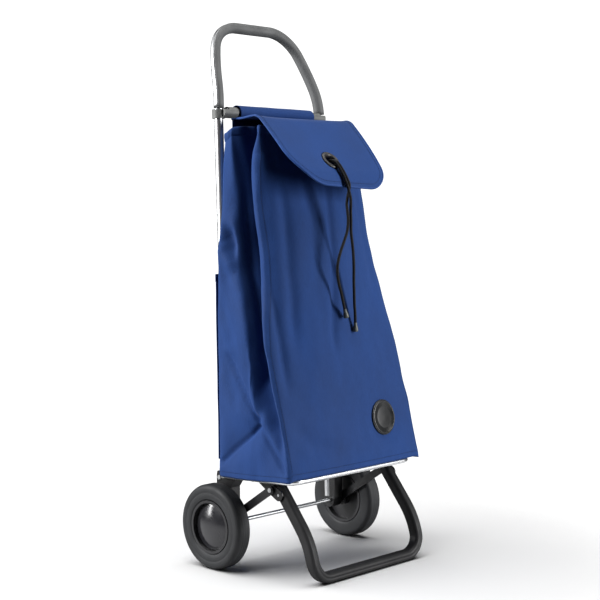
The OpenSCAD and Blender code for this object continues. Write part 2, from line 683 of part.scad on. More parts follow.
left_upright();
right_upright();
handle_tube();
handle_grip();
crossbar_tube();
left_crossbar_clamp();
right_crossbar_clamp();
clamp_screws();
left_axle_bracket();
right_axle_bracket();
bracket_rivets();
axle_rod();
axle_end_nuts();
axle_washers();
shelf_pivot_pins();
hanging_sleeve();
bag_shell();
rear_pocket();
drawstring_hem();
base_board();
left_tyre();
left_wheel_hub();
left_hub_cap();
left_wheel_bush();
right_tyre();
right_wheel_hub();
right_hub_cap();
right_wheel_bush();
shelf_frame();
shelf_end_plugs();
stand_pivot_pins();
stand_tube();
left_stand_plate();
right_stand_plate();
stand_plate_rivets();
left_strut();
right_strut();
left_strut_rivet();
right_strut_rivet();
flap_panel();
flap_binding();
grommet_front();
grommet_back();
left_cord();
right_cord();
left_cord_end();
right_cord_end();
badge_disc();
badge_ring();
badge_backing();
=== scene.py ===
import json
import math

import bmesh
import bpy
import numpy as np
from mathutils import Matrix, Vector, noise


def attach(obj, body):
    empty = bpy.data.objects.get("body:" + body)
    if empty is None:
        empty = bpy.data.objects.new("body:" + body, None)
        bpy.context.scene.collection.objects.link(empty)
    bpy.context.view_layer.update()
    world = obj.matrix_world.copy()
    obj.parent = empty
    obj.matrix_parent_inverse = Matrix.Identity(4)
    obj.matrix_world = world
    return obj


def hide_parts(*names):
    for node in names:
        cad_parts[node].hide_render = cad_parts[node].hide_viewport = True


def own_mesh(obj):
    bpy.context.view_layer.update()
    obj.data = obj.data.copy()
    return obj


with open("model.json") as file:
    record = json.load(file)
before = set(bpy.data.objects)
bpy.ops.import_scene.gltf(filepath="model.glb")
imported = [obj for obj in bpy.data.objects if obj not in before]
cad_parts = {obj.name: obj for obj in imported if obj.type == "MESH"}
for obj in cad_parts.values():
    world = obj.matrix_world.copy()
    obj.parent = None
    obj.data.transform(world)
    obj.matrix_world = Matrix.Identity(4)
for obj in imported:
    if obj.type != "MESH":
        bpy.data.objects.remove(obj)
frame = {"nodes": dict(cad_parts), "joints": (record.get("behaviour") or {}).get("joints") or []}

scene = bpy.context.scene
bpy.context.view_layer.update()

# Everything is drawn in millimetres from the axle's height line: x to the right, y to the rear
# from the axle, z up from the floor. place() turns that into the frame's metres.
MM = 0.001
joints = {j["name"]: j for j in frame["joints"]}
AXLE_Y = joints["left_wheel_spin"]["pos_m"][1]
AXLE_Z = joints["left_wheel_spin"]["pos_m"][2] / MM


def place(points):
    return np.asarray(points, float) * MM + np.array([0.0, AXLE_Y, 0.0])


# ---- camera ----

camera_data = bpy.data.cameras.new("camera")
camera_data.lens = 81.17
camera_data.sensor_width = 36
camera = bpy.data.objects.new("camera", camera_data)
camera.location = place([-1927.6, -1918.8, 701.8])
camera.rotation_euler = (math.radians(86), 0, math.radians(-45.8))
scene.collection.objects.link(camera)
scene.camera = camera


# ---- mesh helpers ----

def edit_mesh(mesh, change):
    bm = bmesh.new()
    bm.from_mesh(mesh)
    change(bm)
    bm.to_mesh(mesh)
    bm.free()


def make_object(name, points, faces, material, smooth=True):
    """A mesh object from points in millimetres."""
    mesh = bpy.data.meshes.new(name)
    mesh.from_pydata(place(points).tolist(), [], [list(f) for f in faces])
    mesh.validate()
    edit_mesh(mesh, lambda bm: bmesh.ops.recalc_face_normals(bm, faces=bm.faces))
    if smooth:
        mesh.shade_smooth()
    mesh.materials.append(material)
    obj = bpy.data.objects.new(name, mesh)
    scene.collection.objects.link(obj)
    return obj


def ring_faces(rows, columns, caps=True, closed=True):
    """Faces of a skin through rows of points; a closed skin joins its last column to its first."""
    faces = []
    for i in range(rows - 1):
        for j in range(columns if closed else columns - 1):
            k = (j + 1) % columns
            faces.append((i * columns + j, i * columns + k,
                          (i + 1) * columns + k, (i + 1) * columns + j))
    if caps:
        faces.append(tuple(range(columns - 1, -1, -1)))
        faces.append(tuple((rows - 1) * columns + j for j in range(columns)))
    return faces


def hoop_faces(rows, columns):
    """Faces of a closed skin whose last row also joins its first."""
    faces = ring_faces(rows, columns, caps=False)
    last = (rows - 1) * columns
    for j in range(columns):
        k = (j + 1) % columns
        faces.append((last + j, last + k, k, j))
    return faces


def make_panel(name, grid, material):
    """An open skin through a grid of points."""
    faces = ring_faces(*grid.shape[:2], caps=False, closed=False)
    return make_object(name, grid.reshape(-1, 3), faces, material)


def unit(v):
    v = np.asarray(v, float)
    return v / np.maximum(np.linalg.norm(v, axis=-1, keepdims=True), 1e-9)


def sweep_rings(path, refs, outline):
    """Rings of an outline [across, up] set square to a path."""
    path = np.asarray(path, float)
    ahead = np.gradient(path, axis=0)
    across = unit(np.cross(ahead, refs))
    up = unit(np.cross(across, ahead))
    outline = np.asarray(outline, float)
    return (path[:, None, :] + outline[None, :, 0, None] * across[:, None, :]
            + outline[None, :, 1, None] * up[:, None, :])


def sweep(name, path, refs, outline, material):
    rings = sweep_rings(path, refs, outline)
    rows, columns = rings.shape[:2]
    return make_object(name, rings.reshape(-1, 3), ring_faces(rows, columns), material)


def circle(radius, sides):
    turns = (np.arange(sides) + 0.5) * 2 * math.pi / sides
    return np.stack([radius * np.cos(turns), radius * np.sin(turns)], axis=1)


def full_turn(steps):
    return np.arange(steps) * 2 * math.pi / steps


def turned(centre, axis, across, other, profile, steps):
    """Rings of a profile of [radius, way along the axis] turned about an axis."""
    turns = full_turn(steps)
    spokes = np.cos(turns)[:, None] * across + np.sin(turns)[:, None] * other
    return np.concatenate([centre + axis * along + r * spokes for r, along in profile])


def smooth_curve(points, per_span=6):
    """A Catmull-Rom curve through points."""
    p = np.asarray(points, float)
    p = np.vstack([2 * p[0] - p[1], p, 2 * p[-1] - p[-2]])
    out = []
    for i in range(1, len(p) - 2):
        for t in np.linspace(0, 1, per_span, endpoint=False):
            a, b, c, d = p[i - 1:i + 3]
            out.append(0.5 * (2 * b + (c - a) * t + (2 * a - 5 * b + 4 * c - d) * t ** 2
                              + (3 * b - a - 3 * c + d) * t ** 3))
    out.append(p[-2])
    return np.array(out)


def lathe(name, profile, side, material, steps=96):
    """A profile of [radius, x from the wheel's middle plane outwards] turned about the axle."""
    middle = side * abs(joints["right_wheel_spin"]["pos_m"][0]) / MM
    turns = full_turn(steps)
    profile = np.asarray(profile, float)
    rings = np.zeros((len(profile), steps, 3))
    rings[..., 0] = middle + side * profile[:, 1, None]
    rings[..., 1] = profile[:, 0, None] * np.cos(turns)
    rings[..., 2] = AXLE_Z + profile[:, 0, None] * np.sin(turns)
    return make_object(name, rings.reshape(-1, 3), ring_faces(len(profile), steps, caps=False),
                       material)


def hand_in(obj, body, replaced=None, crumples=False):
    """Says which CAD node a piece replaces and the body it rides on."""
    if replaced:
        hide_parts(replaced)
    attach(obj, body)
    if crumples:
        follow_fold(obj)


def solidify(obj, thickness_mm, offset=-1.0):
    modifier = obj.modifiers.new("thickness", "SOLIDIFY")
    modifier.thickness = thickness_mm * MM
    modifier.offset = offset
    modifier.use_even_offset = False
    apply_modifiers(obj)


def apply_modifiers(obj):
    graph = bpy.context.evaluated_depsgraph_get()
    mesh = bpy.data.meshes.new_from_object(obj.evaluated_get(graph))
    obj.modifiers.clear()
    obj.data = mesh


def stitches(name, lines, material, spacing=4.6, length=3.2, thick=0.45):
    """Small stitch dashes along lines of points; each line is (points, outward normals)."""
    points, faces = [], []
    profile = [(-0.5, 0.35), (-0.3, 1.0), (0.3, 1.0), (0.5, 0.35)]
    sides = 6
    for line, normals in lines:
        line = np.asarray(line, float)
        normals = unit(normals)
        steps = np.linalg.norm(np.diff(line, axis=0), axis=1)
        run = np.concatenate([[0], np.cumsum(steps)])
        for s in np.arange(spacing, run[-1] - spacing, spacing):
            centre = np.array([np.interp(s, run, line[:, k]) for k in range(3)])
            ahead = np.array([np.interp(s + 1, run, line[:, k]) for k in range(3)]) - centre
            normal = unit(np.array([np.interp(s, run, normals[:, k]) for k in range(3)]))
            ahead = unit(ahead)
            across = np.cross(ahead, normal)
            base = len(points)
            for along, size in profile:
                for k in range(sides):
                    turn = 2 * math.pi * k / sides
                    points.append(centre + ahead * along * length + normal * 0.15
                                  + thick * size * (math.cos(turn) * across
                                                    + math.sin(turn) * normal))
            for i in range(len(profile) - 1):
                for k in range(sides):
                    a, b = base + i * sides + k, base + i * sides + (k + 1) % sides
                    faces.append((a, b, b + sides, a + sides))
            faces.append(tuple(base + k for k in range(sides - 1, -1, -1)))
            faces.append(tuple(base + (len(profile) - 1) * sides + k for k in range(sides)))
    return make_object(name, points, faces, material)


# ---- materials ----

# Noise stays mostly between these factors
MID_LOW, MID_HIGH = 0.3, 0.7


class Finish:
    """A Principled material with procedural colour, roughness and bump in object space."""

    def __init__(self, name, colour, roughness, metallic=0.0, **sockets):
        self.material = bpy.data.materials.new(name)
        self.material.use_nodes = True
        self.tree = self.material.node_tree
        self.shader = self.tree.nodes["Principled BSDF"]
        self.fill(self.shader, Base_Color=(*colour, 1), Roughness=roughness, Metallic=metallic,
                  **sockets)
        self.coordinates = self.add("ShaderNodeTexCoord").outputs["Object"]
        self.normal = None

    def add(self, kind, **settings):
        node = self.tree.nodes.new(kind)
        for key, value in settings.items():
            setattr(node, key, value)
        return node

    def fill(self, node, **values):
        """Sets a node's inputs; an underscore stands for the space in an input's name."""
        for socket, value in values.items():
            node.inputs[socket.replace("_", " ")].default_value = value
        return node

    def link(self, a, b):
        self.tree.links.new(a, b)

    def stretched(self, scale):
        """Object coordinates in metres, scaled per axis."""
        mapping = self.fill(self.add("ShaderNodeMapping"), Scale=scale)
        self.link(self.coordinates, mapping.inputs["Vector"])
        return mapping.outputs["Vector"]

    def noise(self, scale, detail=3.0, stretch=(1, 1, 1), roughness=0.55):
        node = self.fill(self.add("ShaderNodeTexNoise"), Scale=scale, Detail=detail,
                         Roughness=roughness)
        self.link(self.stretched(stretch), node.inputs["Vector"])
        return node.outputs["Fac"]

    def stripes(self, direction, period_mm):
        """Sine stripes across a direction, from 0 to 1."""
        dot = self.add("ShaderNodeVectorMath", operation="DOT_PRODUCT")
        dot.inputs[1].default_value = [2 * math.pi * d / (period_mm * MM) for d in direction]
        self.link(self.coordinates, dot.inputs[0])
        sine = self.math("SINE", dot.outputs["Value"])
        return self.math("MULTIPLY_ADD", sine, 0.5, 0.5)

    def math(self, operation, a, b=None, c=None):
        node = self.add("ShaderNodeMath", operation=operation)
        for socket, value in zip(node.inputs, (a, b, c)):
            if value is None:
                continue
            if isinstance(value, (int, float)):
                socket.default_value = value
            else:
                self.link(value, socket)
        return node.outputs[0]

    def spread(self, factor, low, high):
        """Maps the middle of a noise factor to a range."""
        node = self.fill(self.add("ShaderNodeMapRange"), From_Min=MID_LOW, From_Max=MID_HIGH,
                         To_Min=low, To_Max=high)
        self.link(factor, node.inputs["Value"])
        return node.outputs["Result"]

    def colours(self, factor, first, second):
        """Base colour between two colours."""
        ramp = self.add("ShaderNodeValToRGB")
        ends = zip(ramp.color_ramp.elements, (MID_LOW, MID_HIGH), (first, second))
        for element, position, colour in ends:
            element.position = position
            element.color = (*colour, 1)
        self.link(factor, ramp.inputs["Fac"])
        self.link(ramp.outputs["Color"], self.shader.inputs["Base Color"])
        return self

    def rough(self, factor, low, high):
        self.link(self.spread(factor, low, high), self.shader.inputs["Roughness"])
        return self

    def bump(self, height, depth_mm, strength=1.0):
        node = self.fill(self.add("ShaderNodeBump"), Strength=strength, Distance=depth_mm * MM)
        self.link(height, node.inputs["Height"])
        if self.normal is not None:
            self.link(self.normal, node.inputs["Normal"])
        self.normal = node.outputs["Normal"]
        self.link(self.normal, self.shader.inputs["Normal"])
        return self


def scaled(colour, factor):
    return tuple(c * factor for c in colour)


def tube_metal(name, colour, roughness, stretch):
    """Drawn tube: fine lines along its length and soft handling marks."""
    f = Finish(name, colour, roughness, metallic=1.0)
    f.colours(f.noise(9, 3), scaled(colour, 0.9), scaled(colour, 1.06))
    f.rough(f.noise(60, 4, stretch), roughness - 0.07, roughness + 0.09)
    f.bump(f.noise(900, 2, stretch), 0.04, 0.5)
    return f.material


def moulded(name, colour, roughness, grain_mm=0.9, depth=0.05, **sockets):
    """Moulded plastic with a fine grain and slight rubbed patches."""
    f = Finish(name, colour, roughness, **sockets)
    f.colours(f.noise(22, 4), scaled(colour, 0.82), scaled(colour, 1.2))
    f.rough(f.noise(35, 3), roughness - 0.08, roughness + 0.08)
    f.bump(f.noise(1000 / grain_mm, 2), depth, 0.6)
    return f.material


def woven(name, colour, roughness, period_mm, depth, sheen=0.05, pull=1.0):
    """Plain weave of crossing threads, with slubs, faded patches and a faint coating sheen; the
    colour is also a little darker between the threads, as painted shade.
    """
    f = Finish(name, colour, roughness, Sheen_Weight=sheen, Sheen_Roughness=0.45,
               Specular_IOR_Level=0.22)
    weft = f.stripes((1, 0.55, 0), period_mm)
    warp = f.stripes((0, 0.55, 1), period_mm)
    checks = f.stripes((0.5, 0.55, 0.5), period_mm * 2)
    weave = f.math("ADD", f.math("MULTIPLY", weft, checks),
                   f.math("MULTIPLY", warp, f.math("SUBTRACT", 1.0, checks)))
    patches = f.noise(7, 5, (1, 1, 0.6))
    threads = f.noise(420, 2, (1, 1, 0.12))
    # Colour from random patches and slubs, plus the weave's height: lighter on the threads' crowns
    # and darker between them, painted shade.
    tone_and_weave_shade = f.math("ADD", f.math("MULTIPLY", patches, 0.62),
                  f.math("ADD", f.math("MULTIPLY", threads, 0.26),
                         f.math("MULTIPLY", weave, 0.14)))
    f.colours(tone_and_weave_shade, scaled(colour, 0.8), scaled(colour, 1.2))
    f.rough(patches, roughness - 0.06, roughness + 0.06)
    f.bump(f.noise(60, 3), 0.35 * pull, 0.5)
    f.bump(weave, depth, 0.7)
    return f.material


def braided(name, colour, roughness):
    """Round braid: two sets of strands winding against each other; the colour follows the strands'
    height, with painted shade in the grooves and painted highlight on the crowns.
    """
    f = Finish(name, colour, roughness, Sheen_Weight=0.1, Sheen_Roughness=0.5,
               Specular_IOR_Level=0.25)
    one = f.stripes((1.0, 1.0, 1.0), 2.4)
    other = f.stripes((-1.0, -1.0, 1.0), 2.4)
    strands = f.math("MAXIMUM", one, other)
    # Painted shade and highlight: darker in the grooves between strands, lighter on their crowns.
    f.colours(strands, scaled(colour, 0.6), scaled(colour, 1.6))
    f.bump(strands, 0.35, 0.8)
    f.bump(f.noise(2500, 2), 0.05, 0.5)
    return f.material


aluminium = tube_metal("aluminium", (0.70, 0.71, 0.72), 0.36, (1, 1, 0.04))
shelf_metal = tube_metal("shelf_metal", (0.86, 0.87, 0.88), 0.30, (0.04, 0.04, 1))
grip_cover = moulded("grip_cover", (0.102, 0.104, 0.105), 0.62, 0.7, 0.10)
clamp_plastic = moulded("clamp_plastic", (0.125, 0.128, 0.124), 0.5)
black_plastic = moulded("black_plastic", (0.009, 0.009, 0.010), 0.38)
stand_paint = moulded("stand_paint", (0.020, 0.020, 0.021), 0.5, 1.6, 0.07,
                      Specular_IOR_Level=0.25)
steel = tube_metal("steel", (0.50, 0.51, 0.52), 0.36, (0.05, 1, 1))
tyre_rubber = moulded("tyre_rubber", (0.027, 0.028, 0.030), 0.58, 1.2, 0.12,
                      Specular_IOR_Level=0.3)
hub_plastic = moulded("hub_plastic", (0.018, 0.018, 0.020), 0.45)
cap_plastic = moulded("cap_plastic", (0.022, 0.022, 0.025), 0.2, 3.0, 0.01,
                      Coat_Weight=0.3, Coat_Roughness=0.12)
white_plastic = moulded("white_plastic", (0.75, 0.75, 0.72), 0.40)
board_plastic = moulded("board_plastic", (0.035, 0.034, 0.033), 0.6, 2.5, 0.2)
BLUE = (0.0156, 0.047, 0.156)
bag_cloth = woven("bag_cloth", BLUE, 0.78, 1.7, 0.16)
flap_cloth = woven("flap_cloth", scaled(BLUE, 1.1), 0.75, 1.7, 0.14)
tape_cloth = woven("tape_cloth", scaled(BLUE, 1.3), 0.60, 1.2, 0.20)
# Darker than the cloth: partly the stitching's own colour, partly painted shade standing in for
# the shade along the seams.
thread_and_seam_shade = woven("thread_and_seam_shade", scaled(BLUE, 0.42), 0.6, 0.8, 0.05)
cord_braid = braided("cord_braid", (0.005, 0.005, 0.006), 0.6)
cord_tip_plastic = moulded("cord_tip_plastic", (0.085, 0.092, 0.086), 0.42)
eyelet_plastic = moulded("eyelet_plastic", (0.026, 0.025, 0.026), 0.42)
badge_plastic = moulded("badge_plastic", (0.024, 0.025, 0.026), 0.36)


for material, node_names in (
        (aluminium, ["left_upright", "right_upright", "crossbar_tube"]),
        (clamp_plastic, ["left_crossbar_clamp", "right_crossbar_clamp"]),
        (steel, ["clamp_screws", "bracket_rivets", "axle_rod", "axle_washers",
                 "shelf_pivot_pins", "stand_pivot_pins", "stand_plate_rivets",
                 "left_strut_rivet", "right_strut_rivet"]),
        (black_plastic, ["left_axle_bracket", "right_axle_bracket", "axle_end_nuts",
                         "shelf_end_plugs", "left_stand_plate", "right_stand_plate",
                         "left_strut", "right_strut"]),
        (board_plastic, ["base_board"]),
        (hub_plastic, ["left_wheel_hub", "right_wheel_hub"]),
        (white_plastic, ["left_wheel_bush", "right_wheel_bush"]),
        (shelf_metal, ["shelf_frame"]),
        (badge_plastic, ["badge_backing"])):
    for node_name in node_names:
        materials = frame["nodes"][node_name].data.materials
        materials.clear()
        materials.append(material)


# ---- drawstring ends: they hang from the eyelet ----

CORD_D = 5.5
LEFT_ROUTE = [(-3, -131, 787), (-2, -138, 788), (0, -146, 784), (3, -153, 774),
              (6, -162, 758), (8, -169, 741), (9, -166, 728), (8, -164, 716), (6, -164, 704),
              (6, -166, 690), (7, -167, 672), (4, -167, 652), (-3, -166, 634),
              (-11, -165, 616), (-17, -164, 598), (-19, -163, 582), (-17, -162, 566),
              (-12, -161, 550), (-6, -161, 534), (0, -160, 518), (5, -160, 502)]
RIGHT_ROUTE = [(-9, -131, 787), (-8, -138, 788), (-6, -146, 784), (-3, -153, 774),
               (0, -162, 758), (2, -169, 741), (4, -172, 728), (8, -172, 716),
               (12, -169, 704), (14, -167, 690), (15, -167, 672), (15, -167, 652),
               (18, -167, 634), (22, -166, 616), (25, -165, 598), (27, -164, 578),
               (28, -163, 556), (29, -163, 534), (31, -162, 512), (33, -162, 492),
               (35, -161, 474)]
BAG_TOP = 852.0


def follow_fold(obj):
    """Gives fabric and cords their own copy of the mesh data."""
    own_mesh(obj)


def make_cord(side, route):
    path = smooth_curve(route)
    refs = np.tile([1.0, 0, 0], (len(path), 1))
    cord = sweep(f"{side}_drawstring", path, refs, circle(CORD_D / 2, 12), cord_braid)
    steps = np.linalg.norm(np.diff(path, axis=0), axis=1)
    hand_in(cord, "flap", f"{side}_cord", crumples=True)
    return cord, path, float(steps.sum() * MM)


def make_cord_tip(side, path):
    """Bell-shaped end piece with a rounded rim and a hollow foot."""
    ahead = unit(path[-1] - path[-4])
    across = unit(np.cross(ahead, [1.0, 0, 0]))
    other = np.cross(ahead, across)
    profile = [(0.0, 0.1), (2.6, 0.1), (3.2, 0.6), (3.5, 2.2), (3.3, 4.2), (3.7, 6.5), (4.6, 9.5),
               (5.3, 13.0), (5.5, 16.4), (5.2, 17.8), (4.4, 18.0), (3.8, 16.8), (3.2, 14.0),
               (0.0, 13.6)]
    sides = 24
    points = turned(path[-1], ahead, across, other, profile, sides)
    tip = make_object(f"{side}_cord_tip", points, ring_faces(len(profile), sides, caps=False),
                      cord_tip_plastic)
    edit_mesh(tip.data, lambda bm: bmesh.ops.remove_doubles(bm, verts=bm.verts, dist=1e-6))
    hand_in(tip, "cord_tips", f"{side}_cord_end")
    return tip


for side, route in (("left", LEFT_ROUTE), ("right", RIGHT_ROUTE)):
    cord, path, cord_length = make_cord(side, route)
    tip = make_cord_tip(side, path)


# ---- handle and its cover ----

UPRIGHT_X = 142.0
TUBE_R = 9.0
LEAN = math.radians(2.2)
HANDLE_LEAN = math.radians(21)
HANDLE_Z = 890.0
BOW_START, BOW_END, BOW_R, CORNER_R = math.radians(3), math.radians(19.7), 446.0, 75.0
BEND_LEN = 56.0
GRIP_IN, GRIP_OUT = TUBE_R + 0.2, TUBE_R + 2.0


def handle_line():
    """Path and reference normals of the handle, from the right upright over to the left."""
    x, s = [], []
    for h in np.concatenate([np.linspace(BOW_START, BOW_END, 16),
                             np.linspace(BOW_END, math.pi / 2, 22)[1:]]):
        bowed = min(h, BOW_END)
        x.append(UPRIGHT_X - BOW_R * (math.cos(BOW_START) - math.cos(bowed))
                 - CORNER_R * (math.cos(bowed) - math.cos(h)))
        s.append(BOW_R * (math.sin(bowed) - math.sin(BOW_START))
                 + CORNER_R * (math.sin(h) - math.sin(bowed)))
    x, s = np.array(x), np.array(s)
    flat = np.linspace(x[-1], -x[-1], 12)[1:-1]
    x = np.concatenate([x, flat, -x[::-1]])
    s = np.concatenate([s, np.full(len(flat), s[-1]), s[::-1]])
    bend_r = BEND_LEN / (HANDLE_LEAN - LEAN)
    lean = LEAN + (HANDLE_LEAN - LEAN) * np.minimum(s / BEND_LEN, 1)
    beyond = np.maximum(s - BEND_LEN, 0)
    foot_y = 7.7 + (HANDLE_Z - AXLE_Z) * math.tan(LEAN)
    y = foot_y + bend_r * (math.cos(LEAN) - np.cos(lean)) + beyond * math.sin(HANDLE_LEAN)
    z = HANDLE_Z + bend_r * (np.sin(lean) - math.sin(LEAN)) + beyond * math.cos(HANDLE_LEAN)
    refs = np.stack([np.zeros_like(lean), np.cos(lean), -np.sin(lean)], axis=1)
    return np.stack([x, y, z], axis=1), refs


handle_path, handle_refs = handle_line()
handle = sweep("handle_bar", handle_path, handle_refs, circle(TUBE_R, 32), aluminium)
hand_in(handle, "frame", "handle_tube")

# The cover wraps the tube's inner and front side; its long edges are rounded
outer = np.radians(np.linspace(-133, 73, 40))
rim = GRIP_OUT - 0.5
grip_outline = ([(rim * math.cos(math.radians(-135)), rim * math.sin(math.radians(-135)))]
                + [(GRIP_OUT * math.cos(a), GRIP_OUT * math.sin(a)) for a in outer]
                + [(rim * math.cos(math.radians(75)), rim * math.sin(math.radians(75)))]
                + [(GRIP_IN * math.cos(a), GRIP_IN * math.sin(a))
                   for a in np.radians(np.linspace(75, -135, 30))])
grip = sweep("handle_cover", handle_path, handle_refs, grip_outline, grip_cover)
hand_in(grip, "frame", "handle_grip")


# ---- stand: a rounded-rectangular tube with a groove along its front face ----

LEG_X, LEG_ANGLE, LEG_ARC_R = 150.0, math.radians(51), 150.0
LEG_TOP, BAR_Z, LEG_CORNER_R = (-132.0, 180.0), 10.0, 38.0
LEG_WIDE, LEG_DEEP = 20.0, 24.0


def stand_line():
    straight = (LEG_TOP[1] - BAR_Z - LEG_ARC_R * math.cos(LEG_ANGLE)) / math.sin(LEG_ANGLE)
    length = straight + LEG_ARC_R * (math.pi / 2 - LEG_ANGLE)
    turns = np.linspace(0, math.pi / 2, 16)
    s = np.concatenate([np.linspace(0, length - LEG_CORNER_R, 30)[:-1],
                        length - LEG_CORNER_R * (1 - np.sin(turns))])
    x = np.concatenate([np.full(29, LEG_X), LEG_X - LEG_CORNER_R * (1 - np.cos(turns))])
    bar = np.linspace(x[-1], -x[-1], 10)[1:-1]
    x = np.concatenate([x, bar, -x[::-1]])
    s = np.concatenate([s, np.full(len(bar), length), s[::-1]])
    heading = LEG_ANGLE + np.maximum(s - straight, 0) / LEG_ARC_R
    y = (LEG_TOP[0] - np.minimum(s, straight) * math.cos(LEG_ANGLE)
         - LEG_ARC_R * (np.sin(heading) - math.sin(LEG_ANGLE)))
    z = (LEG_TOP[1] - np.minimum(s, straight) * math.sin(LEG_ANGLE)
         - LEG_ARC_R * (math.cos(LEG_ANGLE) - np.cos(heading)))
    refs = np.stack([np.zeros_like(heading), -np.sin(heading), np.cos(heading)], axis=1)
    return np.stack([x, y, z], axis=1), refs


def soft_box(a, b, r, groove=0.0):
    """Rounded box outline, with a shallow groove along the middle of one face."""
    corners = []
    for k, (sx, sy) in enumerate([(1, 1), (-1, 1), (-1, -1), (1, -1)]):
        for t in np.linspace(0, math.pi / 2, 8):
            turn = k * math.pi / 2 + t
            corners.append((sx * (a - r) + r * math.cos(turn), sy * (b - r) + r * math.sin(turn)))
        if k == 0 and groove:
            corners += [(2.6, b), (1.2, b - groove), (-1.2, b - groove), (-2.6, b)]
    return corners


stand_path, stand_refs = stand_line()
stand = sweep("stand_bar", stand_path, stand_refs,
              soft_box(LEG_WIDE / 2, LEG_DEEP / 2, 7, 1.0), stand_paint)
hand_in(stand, "stand", "stand_tube")


# ---- wheels ----

HALF_W = 18.0
WHEEL_R = AXLE_Z


def arc(centre_r, centre_x, radius, start, end, steps):
    return [(centre_r + radius * math.cos(a), centre_x + radius * math.sin(a))
            for a in np.radians(np.linspace(start, end, steps))]


tread = []
for x in np.linspace(-8.4, 8.4, 29):
    dip = 0.5 * max(0.0, math.cos(2 * math.pi * x / 5.6)) ** 4
    tread.append((WHEEL_R - dip, x))
tyre_profile = (
    [(52.2, -15.0), (53.6, -17.0), (57.0, -17.6), (64.0, -HALF_W), (70.5, -HALF_W)]
    + arc(WHEEL_R - 9.4, -8.6, 9.4, -80, -4, 12) + tread
    + arc(WHEEL_R - 9.4, 8.6, 9.4, 4, 80, 12)
    + [(70.5, HALF_W), (68.0, 17.6), (66.8, 17.1), (65.6, 17.5), (61.0, 17.7), (55.5, 17.2),
       (53.2, 16.0), (52.2, 14.0), (52.2, -15.0)])
dome = [(r, HALF_W - 2.6 - 7.2 * (r / 45.5) ** 2.2) for r in np.linspace(0.01, 41.5, 22)]
cap_profile = dome + [(43.6, HALF_W - 9.3), (44.9, HALF_W - 8.9), (45.4, HALF_W - 9.6),
                      (45.4, HALF_W - 11.5), (40.0, HALF_W - 11.8), (0.01, HALF_W - 5.0)]

for side, sign in (("left", -1), ("right", 1)):
    tyre = lathe(f"{side}_tyre_body", tyre_profile, sign, tyre_rubber, 128)
    hand_in(tyre, f"{side}_wheel", f"{side}_tyre")
    cap = lathe(f"{side}_hub_dome", cap_profile, sign, cap_plastic, 96)
    hand_in(cap, f"{side}_wheel", f"{side}_hub_cap")


# ---- bag ----

def smooth_rows(values, sigma):
    """Gaussian smoothing along the first axis, with the end rows held."""
    reach = int(3 * sigma) + 1
    kernel = np.exp(-0.5 * (np.arange(-reach, reach + 1) / sigma) ** 2)
    kernel /= kernel.sum()
    padded = np.concatenate([np.repeat(values[:1], reach, 0), values,
                             np.repeat(values[-1:], reach, 0)])
    return sum(w * padded[k:k + len(values)] for k, w in enumerate(kernel))


def to_polyline(a, b, points):
    """Distance of (a, b) from a polyline and the share of the way along it."""
    best = np.full(a.shape, 1e9)
    share = np.zeros(a.shape)
    points = np.asarray(points, float)
    for k in range(len(points) - 1):
        p, d = points[k], points[k + 1] - points[k]
        t = np.clip(((a - p[0]) * d[0] + (b - p[1]) * d[1]) / (d @ d), 0, 1)
        gap = np.hypot(a - p[0] - t * d[0], b - p[1] - t * d[1])
        nearer = gap < best
        best = np.where(nearer, gap, best)
        share = np.where(nearer, (k + t) / (len(points) - 1), share)
    return best, share


def crease(a, b, points, depth, width, fade=0.12):
    """Depth of a soft crease along a polyline, fading out at both ends."""
    gap, share = to_polyline(a, b, points)
    ends = np.clip(np.minimum(share, 1 - share) / fade, 0, 1)
    return depth * np.exp(-0.5 * (gap / width) ** 2) * (3 - 2 * ends) * ends ** 2


def wrinkles(points, size, seed):
    """Smooth noise of about -1 to 1, with features of the given size in millimetres."""
    return np.array([noise.noise(Vector(p) / size + Vector((seed, seed * 1.7, seed * 0.3)))
                     for p in points.reshape(-1, 3)]).reshape(points.shape[:-1])


# height, half width at the front and rear, y of front and rear, depth and y of the side fold,
# y where the side panel starts to turn in, bulge of the front
BAG_TABLE = np.array([
    (186, 188, 186, -203.0, 0.0, 0, -113, -95, 5),
    (230, 188, 186, -191.0, 0.5, 0, -113, -95, 8),
    (297, 187, 185, -175.0, 1.0, 1, -113, -96, 10),
    (345, 186, 185, -160.0, 2.0, 8, -108, -95, 17),
    (387, 186, 185, -149.0, 3.0, 19, -108, -93, 21),
    (430, 184, 185, -136.0, 4.0, 34, -104, -86, 24),
    (478, 180, 184, -124.0, 5.0, 46, -98, -76, 27),
    (529, 171, 183, -115.0, 5.0, 56, -90, -62, 29),
    (578, 163, 181, -104.0, 6.0, 64, -78, -44, 31),
    (611, 160, 178, -97.0, 7.0, 70, -68, -34, 31),
    (650, 159, 174, -89.0, 8.5, 76, -58, -24, 31),
    (712, 160, 162, -77.0, 11.0, 82, -50, -24, 29),
    (760, 159, 158, -70.0, 13.0, 84, -43, -18, 26),
    (806, 150, 153, -65.0, 14.5, 86, -36, -10, 18),
    (852, 131, 147, -60.0, 16.0, 84, -30, -4, 9)], float)
# The front's edges are full rolls over these heights, deeper on the photo's side
ROLL_LOW, ROLL_LOW_FADE, ROLL_HIGH, ROLL_HIGH_FADE = 420, 120, 840, 40
LEFT_ROLL, RIGHT_ROLL, ROLL_DEEP, ROLL_WAIST = 22, 7, 27, 0.77
# Their smoothing starts lower down, spreads over columns and bulges outwards
SOFT_LOW, SOFT_LOW_FADE, SOFT_COLUMNS, SOFT_BULGE, SOFT_PASSES = 300, 160, 9, 8.0, 36
# The shelf's rails, which the bag lies on: height at the axle and drop towards the rear
RAILS_Z, RAILS_DROP = 186.4, 0.0545
BAG_CLOTH_T, POCKET_CLOTH_T, FLAP_CLOTH_T, SLEEVE_CLOTH_T = 1.4, 1.2, 2.4, 1.0
ROWS = 190
COLUMNS = dict(rear=46, strip=14, inward=20, outward=22, front=84)


